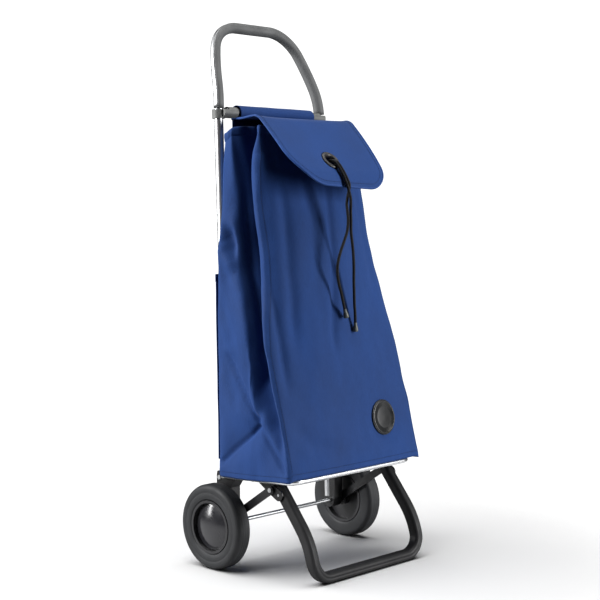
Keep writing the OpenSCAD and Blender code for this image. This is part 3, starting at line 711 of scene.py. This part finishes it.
def bag_section(row):
    """Outline of the bag at one height, counter-clockwise from the middle of the rear."""
    height, front, rear, y_front, y_rear, depth, y_fold, y_turn, bulge = row
    y_turn = min(max(y_turn, y_fold + 2), y_rear - 4)
    side_x = rear + (front - rear) * (y_rear - y_turn) / (y_rear - y_front)
    fold_x = min(rear + (front - rear) * (y_rear - y_fold) / (y_rear - y_front), side_x) - depth
    left = [(0.0, y_rear + 4.0), (-rear, y_rear), (-side_x - 1.0, y_turn), (-fold_x, y_fold),
            (-front, y_front)]
    parts = []
    counts = [COLUMNS["rear"] // 2, COLUMNS["strip"], COLUMNS["inward"], COLUMNS["outward"]]
    for (a, b), n in zip(zip(left[:-1], left[1:]), counts):
        t = np.linspace(0, 1, n, endpoint=False)[:, None]
        parts.append(np.array(a) * (1 - t) + np.array(b) * t)
    parts[0][:, 1] = y_rear + 4.0 * (1 - (parts[0][:, 0] / rear) ** 2)
    # higher up, the front's edge is a full roll that faces sideways
    full = (min(max((height - ROLL_LOW) / ROLL_LOW_FADE, 0), 1)
            * min(max((ROLL_HIGH - height) / ROLL_HIGH_FADE, 0), 1))
    rolls = []
    for inset in (LEFT_ROLL * full, RIGHT_ROLL * full):
        edge = np.array([left[3], (-front + ROLL_WAIST * inset, y_front + ROLL_DEEP * full),
                         (-front + inset, y_front)])
        along = np.concatenate([[0], np.cumsum(np.linalg.norm(np.diff(edge, axis=0), axis=1))])
        steps = np.linspace(0, along[-1], counts[3], endpoint=False)
        rolls.append(np.stack([np.interp(steps, along, edge[:, i]) for i in (0, 1)], axis=1))
    # between the pleats the rear edge is a soft round column
    t = np.linspace(0, 1, counts[1] + counts[2], endpoint=False)[:, None]
    column = ((1 - t) ** 2 * left[1] + 2 * t * (1 - t) * np.array([-side_x - 6, y_turn - 16])
              + t ** 2 * left[3])
    share = 0.85 * math.exp(-((height - 708) / 62) ** 2)
    split = counts[1]
    parts[1] = parts[1] * (1 - share) + column[:split] * share
    parts[2] = parts[2] * (1 - share) + column[split:] * share
    half = np.concatenate(parts[:3])
    k = np.linspace(-1, 1, COLUMNS["front"] + 1)
    face = np.stack([(front - np.where(k < 0, LEFT_ROLL, RIGHT_ROLL) * full) * k,
                     y_front - bulge * (1 - np.abs(k) ** 2.2)], axis=1)
    mirrored = np.concatenate([half[1:], rolls[1]])[::-1] * [-1, 1]
    return np.concatenate([half, rolls[0], face, mirrored])


def bag_bottom_z(x, y):
    """Underside of the bag: it lies on the shelf's rails and droops outside them."""
    lying = RAILS_Z - RAILS_DROP * y
    outside = np.clip((np.abs(x) - 177) / 8, 0, 1)
    return lying - (5.0 + 2.0 * np.clip((y + 170) / 60, 0, 1)) * outside


def bag_grid():
    """Rows of points of the bag's sides, from the bottom edge to the mouth."""
    levels = np.linspace(186.0, BAG_TOP, ROWS)
    table = np.stack([np.interp(levels, BAG_TABLE[:, 0], BAG_TABLE[:, k])
                      for k in range(BAG_TABLE.shape[1])], axis=1)
    table = smooth_rows(table, 4.0)
    plan = np.stack([bag_section(row) for row in table])
    for _ in range(5):
        plan = 0.5 * plan + 0.25 * (np.roll(plan, 1, axis=1) + np.roll(plan, -1, axis=1))
    # above the folded bottom corners the front's edges are soft rolls
    column = np.arange(plan.shape[1])
    corner = sum(COLUMNS[part] for part in ("strip", "inward", "outward")) + COLUMNS["rear"] // 2
    away = np.minimum(np.abs(column - corner), np.abs(column - corner - COLUMNS["front"]))
    height = (np.clip((levels - SOFT_LOW) / SOFT_LOW_FADE, 0, 1)
              * np.clip((ROLL_HIGH - levels) / ROLL_HIGH_FADE, 0, 1))
    roll = (height[:, None] * np.exp(-0.5 * (away / SOFT_COLUMNS) ** 2)[None])[..., None]
    plan[..., 0] += np.sign(plan[..., 0]) * SOFT_BULGE * roll[..., 0]
    for _ in range(SOFT_PASSES):
        plan += roll * (0.25 * (np.roll(plan, 1, axis=1) + np.roll(plan, -1, axis=1)) - 0.5 * plan)
    x, y = plan[..., 0], plan[..., 1]
    share = np.linspace(0, 1, ROWS)[:, None]
    low = bag_bottom_z(x[0], y[0])[None]
    rear_corner = np.exp(-0.5 * ((np.abs(x[-1]) - 147) ** 2 + (y[-1] - 14) ** 2) / 11 ** 2)
    high = (BAG_TOP - 13 * rear_corner)[None]
    z = low + (high - low) * share
    return np.stack([x, y, z], axis=-1)


def creases(a, b, folds):
    """Several creases together: each has a polyline, a depth, a width and a fade."""
    return sum(crease(a, b, *fold) for fold in folds)


def push_side(p, fine):
    """Creases of the folded side panels, as a push towards the middle of the bag."""
    y, z = p[..., 1], p[..., 2]
    diagonal = [(-22, 428), (-70, 358), (-113, 292), (-155, 242), (-192, 203)]
    lower = [(-6, 203), (-50, 238), (-95, 270), (-113, 292)]
    behind_edge = [(-104, 450), (-119, 412), (-139, 350), (-161, 285), (-185, 212)]
    behind_depth = 24.0 * np.clip((z - 170) / 200, 0.3, 1)
    beside_edge = [(-94, 430), (-108, 392), (-129, 340), (-152, 280), (-180, 214)]
    beside_depth = 20.0 * np.clip((z - 190) / 140, 0.2, 1)
    return 1.8 * fine + creases(y, z, [
        (diagonal, 5.5, 3.6, 0.06),
        (diagonal, 5.0, 15),
        (lower, 6.0, 3.4, 0.06),
        (lower, 5.5, 14),
        ([(-113, 292), (-107, 345), (-108, 400)], 3.0, 4.5),
        (behind_edge, behind_depth, 7.0, 0.2),
        (beside_edge, beside_depth, 9.0, 0.3),
        ([(-113, 300), (-104, 345), (-99, 395), (-95, 445)], -11.0, 5.5, 0.2),
        ([(8, 668), (-12, 646), (-32, 612), (-58, 560)], 19.0, 9.5, 0.5),
        ([(2, 634), (-18, 610), (-40, 570)], -6.0, 12.0, 0.3),
        ([(4, 600), (-20, 560), (-50, 500)], 3.0, 8.0, 0.3),
        ([(2, 540), (-30, 470), (-66, 400)], 3.2, 8.0, 0.3),
        ([(4, 500), (-14, 420), (-44, 345), (-66, 300)], 2.8, 7.0, 0.3)])


def push_front(p, fine):
    """Long soft folds of the front panel, as a push to the rear."""
    x, z = p[..., 0], p[..., 2]
    gathers = np.exp(-(BAG_TOP - z) / 70) * np.cos(2 * np.pi * x / 31 + 0.02 * z)
    return 2.4 * gathers + 1.2 * fine + creases(x, z, [
        ([(18, 780), (14, 700), (6, 595), (-18, 462), (-26, 400)], 6.0, 7.0, 0.25),
        ([(-34, 780), (-40, 640), (-50, 520)], 2.5, 10.0, 0.3),
        ([(-92, 780), (-98, 650), (-112, 500), (-122, 400)], 5.0, 8.0, 0.3),
        ([(-136, 760), (-138, 640), (-150, 480), (-158, 330)], 5.5, 6.0, 0.2),
        ([(72, 780), (66, 640), (52, 500)], 3.0, 10.0, 0.3),
        ([(118, 770), (122, 640), (134, 500)], 3.2, 9.0, 0.3),
        ([(150, 470), (120, 380), (60, 330)], 2.0, 14.0, 0.3),
        ([(-160, 300), (-110, 250), (-20, 232)], 2.6, 11.0, 0.3)])


BADGE_AT = np.array([90, -185.6, 284])
# The bag is pressed flat behind the badge and takes its own shape again around it
SEAT_R, SEAT_FADE = 62, 24
BADGE_TILT, BADGE_TURN = math.radians(10.5), math.radians(3.5)


def badge_plane():
    """Middle of the badge's back and the direction it faces."""
    return BADGE_AT, np.array([math.sin(BADGE_TURN) * math.cos(BADGE_TILT),
                               -math.cos(BADGE_TURN) * math.cos(BADGE_TILT),
                               math.sin(BADGE_TILT)])


def make_bag():
    p = bag_grid()
    broad = wrinkles(p, 85.0, 3.1)
    fine = wrinkles(p * [1, 1, 0.6], 26.0, 8.2)
    turn = np.roll(p, -1, axis=1) - np.roll(p, 1, axis=1)
    outward = unit(np.stack([-turn[..., 1], turn[..., 0], np.zeros_like(broad)], axis=-1))
    inward = -outward if (outward[:, 0, 1] < 0).all() else outward
    inward = np.where(inward[:, :1, 1:2] > 0, -inward, inward)
    facing_side = np.clip(np.abs(inward[..., 0]) * 1.6 - 0.5, 0, 1)
    facing_front = np.clip(inward[..., 1] * 1.6 - 0.4, 0, 1)
    on_side = np.abs(p[..., 0]) > 60
    settle = np.clip((p[..., 2] - 200) / 60, 0, 1)
    side_push = push_side(p, fine) * facing_side * on_side
    front_push = push_front(p, fine) * facing_front * ~(on_side & (facing_front < 0.05))
    p[..., 0] -= np.sign(p[..., 0]) * side_push
    p[..., 1] += front_push
    rear = (inward[..., 1] < -0.7)
    p += inward * (-1.6 * broad * settle * np.where(rear, 0.3, 1.0))[..., None]
    at, normal = badge_plane()
    near = np.hypot(p[..., 0] - at[0], (p[..., 2] - at[2]) * 1.02)
    seat = at[1] - ((p[..., 0] - at[0]) * normal[0] + (p[..., 2] - at[2]) * normal[2]) / normal[1]
    pressed = np.clip((SEAT_R - near) / SEAT_FADE, 0, 1) * (p[..., 1] < -120)
    pressed = pressed ** 2 * (3 - 2 * pressed)
    p[..., 1] += pressed * (seat + 0.5 - p[..., 1])
    rows_count, columns = p.shape[:2]
    points = [p.reshape(-1, 3)]
    faces = ring_faces(rows_count, columns, caps=False)
    ring = p[0]
    centre = np.array([0.0, -100.0, 0.0])
    base = 0
    offset = rows_count * columns
    for scale in (0.985, 0.94, 0.85, 0.7, 0.5, 0.3, 0.12):
        inner = centre + (ring - centre) * scale
        inner[:, 2] = RAILS_Z - RAILS_DROP * inner[:, 1] + 0.4 * (scale < 0.9)
        if scale == 0.985:
            inner[:, 2] = 0.6 * ring[:, 2] + 0.4 * inner[:, 2] - 0.4
        points.append(inner)
        for j in range(columns):
            k = (j + 1) % columns
            faces.append((base + k, base + j, offset + j, offset + k))
        base = offset
        offset += columns
    faces.append(tuple(base + j for j in range(columns)))
    bag = make_object("bag_body", np.concatenate(points), faces, bag_cloth)
    return bag, p, -inward


bag, bag_points, bag_normals = make_bag()
solidify(bag, BAG_CLOTH_T)
hand_in(bag, "frame", "bag_shell", crumples=True)

n_half = COLUMNS["rear"] // 2 + COLUMNS["strip"] + COLUMNS["inward"] + COLUMNS["outward"]
left_front = n_half + 2
right_front = n_half + COLUMNS["front"] - 2
seam_rows = slice(4, ROWS - 8)
bag_lines = [(bag_points[seam_rows, c], bag_normals[seam_rows, c])
             for c in (left_front, right_front)]
hem_row = 3
bag_lines.append(tuple(np.vstack([grid[hem_row], grid[hem_row][:1]])
                       for grid in (bag_points, bag_normals)))
# Dark stitches on the front edges and the hem: partly their own colour, partly painted seam shade.
bag_stitching = stitches("bag_stitching", bag_lines, thread_and_seam_shade)
hand_in(bag_stitching, "frame", crumples=True)


def make_hem():
    """Rolled band around the mouth that holds the drawstring, gathered in small ripples."""
    rim = bag_points[-1]
    out = bag_normals[-1]
    columns = len(rim)
    ripple = 0.8 * np.cos(np.arange(columns) * 2 * np.pi / 6.1)
    outline = [(0.3, -15), (1.6, -15.3), (2.2, -12), (2.7, -6), (2.5, -1), (1.4, 1.6), (-0.6, 2.2),
               (-2.6, 1.4), (-3.4, -1), (-3.5, -6), (-3.0, -12), (-2.2, -15.3), (-1.7, -15)]
    rings = [rim + out * (a + ripple[:, None] * (0.6 if b > -12 else 0.1))
             + np.array([0, 0, b]) for a, b in outline]
    return make_object("mouth_hem", np.concatenate(rings), hoop_faces(len(outline), columns),
                       bag_cloth)


hem = make_hem()
hand_in(hem, "frame", "drawstring_hem")


# ---- pocket on the rear ----

POCKET_LOW, POCKET_HIGH, POCKET_HALF = 212.0, 569.0, 178.0


def pocket_surface(x, z):
    """y of the pocket's outside: close to the bag below, standing off towards its top."""
    rear = np.interp(z, BAG_TABLE[:, 0], BAG_TABLE[:, 4]) + 4.0 * (1 - (x / 186) ** 2)
    rise = np.clip((z - POCKET_LOW) / (POCKET_HIGH - POCKET_LOW), 0, 1)
    # at the sides it stands free beside the uprights
    edge = np.clip((np.abs(x) - 154) / 20, 0, 1)
    lift = 0.9 + rise * (1.4 + 2.6 * edge) + 1.2 * rise * np.cos(x / 38) * (np.abs(x) < 120)
    return rear + lift


def make_pocket():
    x = np.linspace(-POCKET_HALF, POCKET_HALF, 93)
    z = np.concatenate([np.linspace(POCKET_LOW, POCKET_HIGH - 14, 80),
                        [POCKET_HIGH - 13.4, POCKET_HIGH - 7, POCKET_HIGH - 0.6, POCKET_HIGH]])
    grid_x, grid_z = np.meshgrid(x, z)
    surface = pocket_surface(grid_x, grid_z)
    band = (grid_z > POCKET_HIGH - 13.8) & (grid_z < POCKET_HIGH - 0.1)
    surface = surface + 0.9 * band
    p = np.stack([grid_x, surface, grid_z], axis=-1)
    p[..., 1] += 0.5 * wrinkles(p, 40.0, 5.5)
    p[..., 0] *= np.interp(p[..., 2], [POCKET_LOW, POCKET_HIGH], [1.0, 0.985])
    return make_panel("rear_pocket_panel", p, bag_cloth)


pocket = make_pocket()
solidify(pocket, POCKET_CLOTH_T, 1.0)
hand_in(pocket, "frame", "rear_pocket", crumples=True)


# ---- flap ----

HINGE = (15.5, 869.5)
FLAP_LEVEL, FLAP_FOLD_R, FLAP_SLOPE, FLAP_SLOPE_LEN = 62.5, 22.0, math.radians(48), 124.0
FLAP_TIP_R, FLAP_TIP = 60.0, math.radians(80)
FLAP_HALF, FLAP_TIP_HALF, FLAP_CORNER, LEFT_CORNER = 130.0, 124.0, 45.0, 82.0
# The right side hangs lower, the edges stand in a bow, and it narrows towards the seam
FLAP_SKEW, FLAP_BOW, SEAM_TAPER, SEAM_TAPER_LEN = 6.0, 7.5, 14, 70
FOLD_LEN = FLAP_FOLD_R * FLAP_SLOPE
TIP_LEN = FLAP_TIP_R * (FLAP_TIP - FLAP_SLOPE)
FLAP_LEN = FLAP_LEVEL + FOLD_LEN + FLAP_SLOPE_LEN + TIP_LEN


def flap_point(x, s):
    """A point of the flap's middle surface and its upward normal, from x and the way along."""
    s_in = np.clip(s, 0, FLAP_LEN)
    folded = np.clip((s_in - FLAP_LEVEL) / FLAP_FOLD_R, 0, FLAP_SLOPE)
    tipped = np.clip((s_in - FLAP_LEN + TIP_LEN) / FLAP_TIP_R, 0, FLAP_TIP - FLAP_SLOPE)
    dip = folded + tipped
    sloped = np.clip(s_in - FLAP_LEVEL - FOLD_LEN, 0, FLAP_SLOPE_LEN)
    y = (HINGE[0] - np.minimum(s_in, FLAP_LEVEL) - FLAP_FOLD_R * np.sin(folded)
         - sloped * math.cos(FLAP_SLOPE)
         - FLAP_TIP_R * (np.sin(FLAP_SLOPE + tipped) - math.sin(FLAP_SLOPE)))
    z = (HINGE[1] - FLAP_FOLD_R * (1 - np.cos(folded)) - sloped * math.sin(FLAP_SLOPE)
         - FLAP_TIP_R * (math.cos(FLAP_SLOPE) - np.cos(FLAP_SLOPE + tipped)))
    z = z - np.maximum(s - FLAP_LEN, 0)
    normal = np.stack([np.zeros_like(dip), -np.sin(dip), np.cos(dip)], axis=-1)
    z = z - FLAP_SKEW * np.clip(x / FLAP_HALF, -1, 1) * (s_in / FLAP_LEN) ** 4
    point = np.stack([x + 0 * y, y, z], axis=-1)
    # the stiff bound edges stand in a bow, and the drawstring holds the middle down
    bow = np.sin(np.pi * np.clip((s_in - 30) / (FLAP_LEN - 26), 0, 1)) ** 0.9
    wave = (FLAP_BOW * bow * (np.abs(x) / FLAP_HALF) ** 1.7
            + 0.9 * np.sin(x / 37.0 + s_in / 55.0) * np.clip(s_in / 60, 0, 1))
    return point + normal * wave[..., None], normal


def flap_edge(s, radius=FLAP_CORNER):
    corner = np.clip((s - FLAP_LEN + radius) / radius, 0, 1)
    return (FLAP_HALF - (FLAP_HALF - FLAP_TIP_HALF) * s / FLAP_LEN
            - radius * (1 - np.sqrt(1 - corner ** 2))
            - SEAM_TAPER * np.clip(1 - s / SEAM_TAPER_LEN, 0, 1) ** 2)


# The eyelet's middle, by its way down the slope and its way along the flap
EYELET_X, EYELET_DOWN, HOLE_R = -6.0, 101, 14.5
EYELET_S = FLAP_LEVEL + FOLD_LEN + EYELET_DOWN


def make_flap():
    t = np.concatenate([np.linspace(0, 1, 52)[:-1] * (1 - LEFT_CORNER / FLAP_LEN),
                        1 - LEFT_CORNER / FLAP_LEN
                        * (1 - np.sin(np.linspace(0, math.pi / 2, 44)))])
    s = t * FLAP_LEN
    u = np.linspace(-1, 1, 73)
    x = np.where(u[None] < 0, flap_edge(s, LEFT_CORNER)[:, None],
                 flap_edge(s)[:, None]) * u[None]
    s_grid = np.repeat(s[:, None], len(u), axis=1)
    p, _ = flap_point(x, s_grid)
    faces = ring_faces(len(s), len(u), caps=False, closed=False)
    gap = np.hypot(x - EYELET_X, s[:, None] - EYELET_S).reshape(-1)
    faces = [f for f in faces if min(gap[list(f)]) > HOLE_R - 2.5]
    used = sorted({v for f in faces for v in f})
    flat = p.reshape(-1, 3)
    sx, ss = x.reshape(-1), s_grid.reshape(-1)
    for v in used:
        if gap[v] < HOLE_R:
            way = np.array([sx[v] - EYELET_X, ss[v] - EYELET_S]) / gap[v] * HOLE_R
            flat[v] = flap_point(np.array(EYELET_X + way[0]), np.array(EYELET_S + way[1]))[0]
    number = {v: i for i, v in enumerate(used)}
    return make_object("flap_cloth_panel", flat[used],
                       [tuple(number[v] for v in f) for f in faces], flap_cloth)


flap = make_flap()
solidify(flap, FLAP_CLOTH_T, 0.0)
hand_in(flap, "flap", "flap_panel")


def flap_outline(inset):
    """The flap's edge from its left rear corner round its tip to its right rear corner."""
    sides = []
    for radius in (LEFT_CORNER, FLAP_CORNER):
        s = np.concatenate([np.linspace(0, FLAP_LEN - radius, 50)[:-1],
                            FLAP_LEN - radius
                            * (1 - np.sin(np.linspace(0, math.pi / 2 - 0.02, 30)))])
        lean = np.arcsin(np.clip((s - FLAP_LEN + radius) / radius, 0, 1))
        sides.append((flap_edge(s, radius) - inset * np.cos(lean), s - inset * np.sin(lean)))
    (left_x, left_s), (right_x, right_s) = sides
    bar = np.linspace(-left_x[-1], right_x[-1], 30)[1:-1]
    xs = np.concatenate([-left_x, bar, right_x[::-1]])
    ss = np.concatenate([left_s, np.full(len(bar), left_s[-1]), right_s[::-1]])
    return flap_point(xs, ss)


PIPING_R, PIPING_OUT, STITCH_IN = 2.3, 1.6, 6.0
piping_path, piping_normals = flap_outline(-PIPING_OUT)
piping = sweep("flap_piping", piping_path, piping_normals, circle(PIPING_R, 14), tape_cloth)
hand_in(piping, "flap", "flap_binding")
stitch_path, stitch_normals = flap_outline(STITCH_IN)
# Dark stitches round the flap: partly their own colour, partly painted shade of the seam by the
# binding.
flap_stitching = stitches("flap_stitching",
                          [(stitch_path + stitch_normals * 1.2, stitch_normals)], thread_and_seam_shade)
hand_in(flap_stitching, "flap")


def eyelet_ring(name, profile, material, node):
    """A ring of [radius, height above the flap's middle surface] round the eyelet's axis."""
    centre = np.array([EYELET_X, HINGE[0] - FLAP_LEVEL - FLAP_FOLD_R * math.sin(FLAP_SLOPE)
                       - EYELET_DOWN * math.cos(FLAP_SLOPE),
                       HINGE[1] - FLAP_FOLD_R * (1 - math.cos(FLAP_SLOPE))
                       - EYELET_DOWN * math.sin(FLAP_SLOPE)])
    normal = np.array([0, -math.sin(FLAP_SLOPE), math.cos(FLAP_SLOPE)])
    down = np.array([0, -math.cos(FLAP_SLOPE), -math.sin(FLAP_SLOPE)])
    sides = 64
    points = turned(centre, normal, np.array([1.0, 0, 0]), down, profile, sides)
    ring = make_object(name, points, hoop_faces(len(profile), sides), material)
    hand_in(ring, "flap", node)


front_ring = ([(21.0, 2.2)]
              + [(16.5 + 4.5 * math.cos(a), 2.2 + 2.9 * math.sin(a))
                 for a in np.linspace(0.1, math.pi - 0.1, 16)]
              + [(12.0, 2.0), (12.0, -3.0), (13.6, -3.0), (13.8, 2.0)])
back_ring = [(14.2, -2.4), (19.6, -2.4), (20.0, -3.2), (19.2, -4.2), (14.6, -4.2)]
eyelet_ring("eyelet_front", front_ring, eyelet_plastic, "grommet_front")
eyelet_ring("eyelet_back", back_ring, eyelet_plastic, "grommet_back")


# ---- sleeve that hangs the bag from the crossbar ----

CROSSBAR = (30.0, 882.0)
SLEEVE_R, SLEEVE_HALF = 15.2, 103.0


def make_sleeve():
    turns = np.radians(np.linspace(222, -95, 44))
    loop = [(CROSSBAR[0] + SLEEVE_R * math.cos(a), CROSSBAR[1] + SLEEVE_R * math.sin(a))
            for a in turns]
    skirt = [(17.8, 838.0), (17.4, 846.0), (17.4, 856.0), (17.6, 864.0), (17.9, 869.0)]
    tuck = [(22.0, 867.2), (19.6, 862.0), (19.4, 850.0), (19.4, 838.0)]
    outline = skirt + loop + tuck
    x = np.concatenate([[-SLEEVE_HALF, -SLEEVE_HALF + 1.2], np.linspace(-SLEEVE_HALF + 4,
                        SLEEVE_HALF - 4, 60), [SLEEVE_HALF - 1.2, SLEEVE_HALF]])
    p = np.zeros((len(x), len(outline), 3))
    p[..., 0] = x[:, None]
    p[..., 1:] = np.array(outline)[None]
    from_bar = unit(np.array(outline) - np.array(CROSSBAR))
    folds = wrinkles(p * [0.5, 1, 1], 22.0, 2.2) * 0.8
    folds[[0, 1, -2, -1]] *= 0.3
    p[..., 1] += from_bar[None, :, 0] * (folds - 0.6)
    p[..., 2] += from_bar[None, :, 1] * (folds - 0.6)
    return make_panel("sleeve_cloth", p, bag_cloth)


sleeve = make_sleeve()
solidify(sleeve, SLEEVE_CLOTH_T, 0.0)
hand_in(sleeve, "frame", "hanging_sleeve")


YOKE_HALF, YOKE_Y, YOKE_LOW, YOKE_HIGH = 126, 14.9, 842, 867.5


def make_yoke():
    """The back panel's top strip, between the mouth and the flap's rear edge."""
    x = np.linspace(-YOKE_HALF, YOKE_HALF, 64)
    z = np.linspace(YOKE_LOW, YOKE_HIGH, 10)
    gx, gz = np.meshgrid(x, z)
    gy = (YOKE_Y + 1.1 * np.sin(gx / 23) * np.clip((862 - gz) / 20, 0, 1)
          + 0.06 * (gz - YOKE_LOW))
    return make_panel("back_yoke", np.stack([gx, gy, gz], axis=-1), bag_cloth)


yoke = make_yoke()
solidify(yoke, SLEEVE_CLOTH_T, 0.0)
hand_in(yoke, "frame")

SEAM_HALF, SEAM_Y, SEAM_Z, SEAM_R = 127, 16.3, 868.6, 2.1
seam_x = np.linspace(-SEAM_HALF, SEAM_HALF, 90)
seam_z = SEAM_Z + 0.25 * np.sin(seam_x / 7)
seam_path = np.stack([seam_x, np.full_like(seam_x, SEAM_Y), seam_z], axis=1)
seam_refs = np.tile([0.0, 0, 1], (len(seam_x), 1))
flap_seam = sweep("flap_seam", seam_path, seam_refs, circle(SEAM_R, 12), tape_cloth)
hand_in(flap_seam, "frame")


# ---- badge ----

def badge_part(name, profile, node):
    """A round moulding of [radius, height] on the bag's front."""
    _, normal = badge_plane()
    across = np.array([math.cos(BADGE_TURN), math.sin(BADGE_TURN), 0])
    up = np.cross(across, normal)
    sides = 96
    points = turned(BADGE_AT, normal, across, up, profile, sides)
    part = make_object(name, points, ring_faces(len(profile), sides), badge_plastic)
    hand_in(part, "badge", node)


dome_profile = ([(34.0, 0.0), (34.8, 0.5), (35.0, 1.4), (34.6, 2.4), (33.6, 2.9), (29.2, 3.0),
                 (28.6, 2.6), (27.6, 2.2), (26.4, 2.5)]
                + [(r, 2.6 + 1.5 * (1 - (r / 26.0) ** 2)) for r in np.linspace(25.5, 2, 14)])
ring_profile = [(33.2, 3.0), (33.2, 3.8), (32.4, 4.5), (30.6, 4.6), (29.6, 4.2), (29.4, 3.1)]
badge_part("badge_dome", dome_profile, "badge_disc")
badge_part("badge_rim", ring_profile, "badge_ring")


# ---- floor and light ----

FLOOR_R, FLOOR_Z = 1100.0, -0.5


def make_floor():
    """A pale floor that fades out into the white backdrop away from the trolley."""
    f = Finish("floor", (0.80, 0.80, 0.80), 0.8, Specular_IOR_Level=0.2)
    f.colours(f.noise(1.5, 3), (0.79, 0.79, 0.79), (0.81, 0.81, 0.81))
    flat = f.add("ShaderNodeVectorMath", operation="MULTIPLY")
    flat.inputs[1].default_value = (1, 1, 0)
    f.link(f.coordinates, flat.inputs[0])
    reach = f.add("ShaderNodeVectorMath", operation="LENGTH")
    f.link(flat.outputs["Vector"], reach.inputs[0])
    fade = f.fill(f.add("ShaderNodeMapRange", interpolation_type="SMOOTHSTEP"),
                  From_Min=0.45, From_Max=1.0)
    f.link(reach.outputs["Value"], fade.inputs["Value"])
    clear = f.add("ShaderNodeBsdfTransparent")
    mix = f.add("ShaderNodeMixShader")
    f.link(fade.outputs["Result"], mix.inputs[0])
    f.link(f.shader.outputs[0], mix.inputs[1])
    f.link(clear.outputs[0], mix.inputs[2])
    f.link(mix.outputs[0], f.tree.nodes["Material Output"].inputs["Surface"])
    sides = 64
    turns = full_turn(sides)
    rim = FLOOR_R * np.stack([np.cos(turns), np.sin(turns), np.zeros(sides)], axis=1)
    rim[:, 2] = FLOOR_Z
    return make_object("floor", rim, [tuple(range(sides))], f.material, smooth=False)


floor = make_floor()


def receivers(name, state):
    """A collection that keeps a light off the floor, or gives it the floor alone."""
    group = bpy.data.collections.new(name)
    group.objects.link(floor)
    group.collection_objects[0].light_linking.link_state = state
    return group


# The side lights are flagged off the floor, which overhead lights shade softly
all_but_floor = receivers("all_but_floor", "EXCLUDE")
floor_alone = receivers("floor_alone", "INCLUDE")


def softbox(name, at, target, wide, high, power, lit=None):
    data = bpy.data.lights.new(name, "AREA")
    data.shape = "RECTANGLE"
    data.size = wide
    data.size_y = high
    data.energy = power
    light = bpy.data.objects.new(name, data)
    light.location = at
    light.rotation_euler = (Vector(target) - Vector(at)).to_track_quat("-Z", "Y").to_euler()
    scene.collection.objects.link(light)
    light.light_linking.receiver_collection = lit


softbox("key", (-2.6, 1.5, 1.9), (0, 0, 0.5), 1.3, 1.5, 165, all_but_floor)
softbox("strip", (-2.1, 2.3, 0.75), (0, 0, 0.5), 0.3, 1.5, 22, all_but_floor)
softbox("front", (1.5, -2.9, 0.95), (0, 0, 0.5), 0.8, 2.2, 125, all_but_floor)
softbox("top", (0.6, -0.4, 3.1), (0, 0, 0), 2.4, 2.4, 52)
softbox("over_floor", (-1.3, 0.8, 2.7), (0, 0, 0), 3.4, 3.4, 114, floor_alone)

# The backdrop is seen as pure white; as a light it is dimmer, so that folds stay dark
world = bpy.data.worlds.new("studio")
scene.world = world
world.use_nodes = True
backdrop = world.node_tree.nodes["Background"]
rays = world.node_tree.nodes.new("ShaderNodeLightPath")
level = world.node_tree.nodes.new("ShaderNodeMapRange")
level.inputs["To Min"].default_value = 0.035
level.inputs["To Max"].default_value = 1.0
world.node_tree.links.new(rays.outputs["Is Camera Ray"], level.inputs["Value"])
world.node_tree.links.new(level.outputs["Result"], backdrop.inputs["Strength"])
backdrop.inputs["Color"].default_value = (1, 1, 1, 1)
scene.view_settings.view_transform = "Standard"
scene.view_settings.look = "Medium High Contrast"
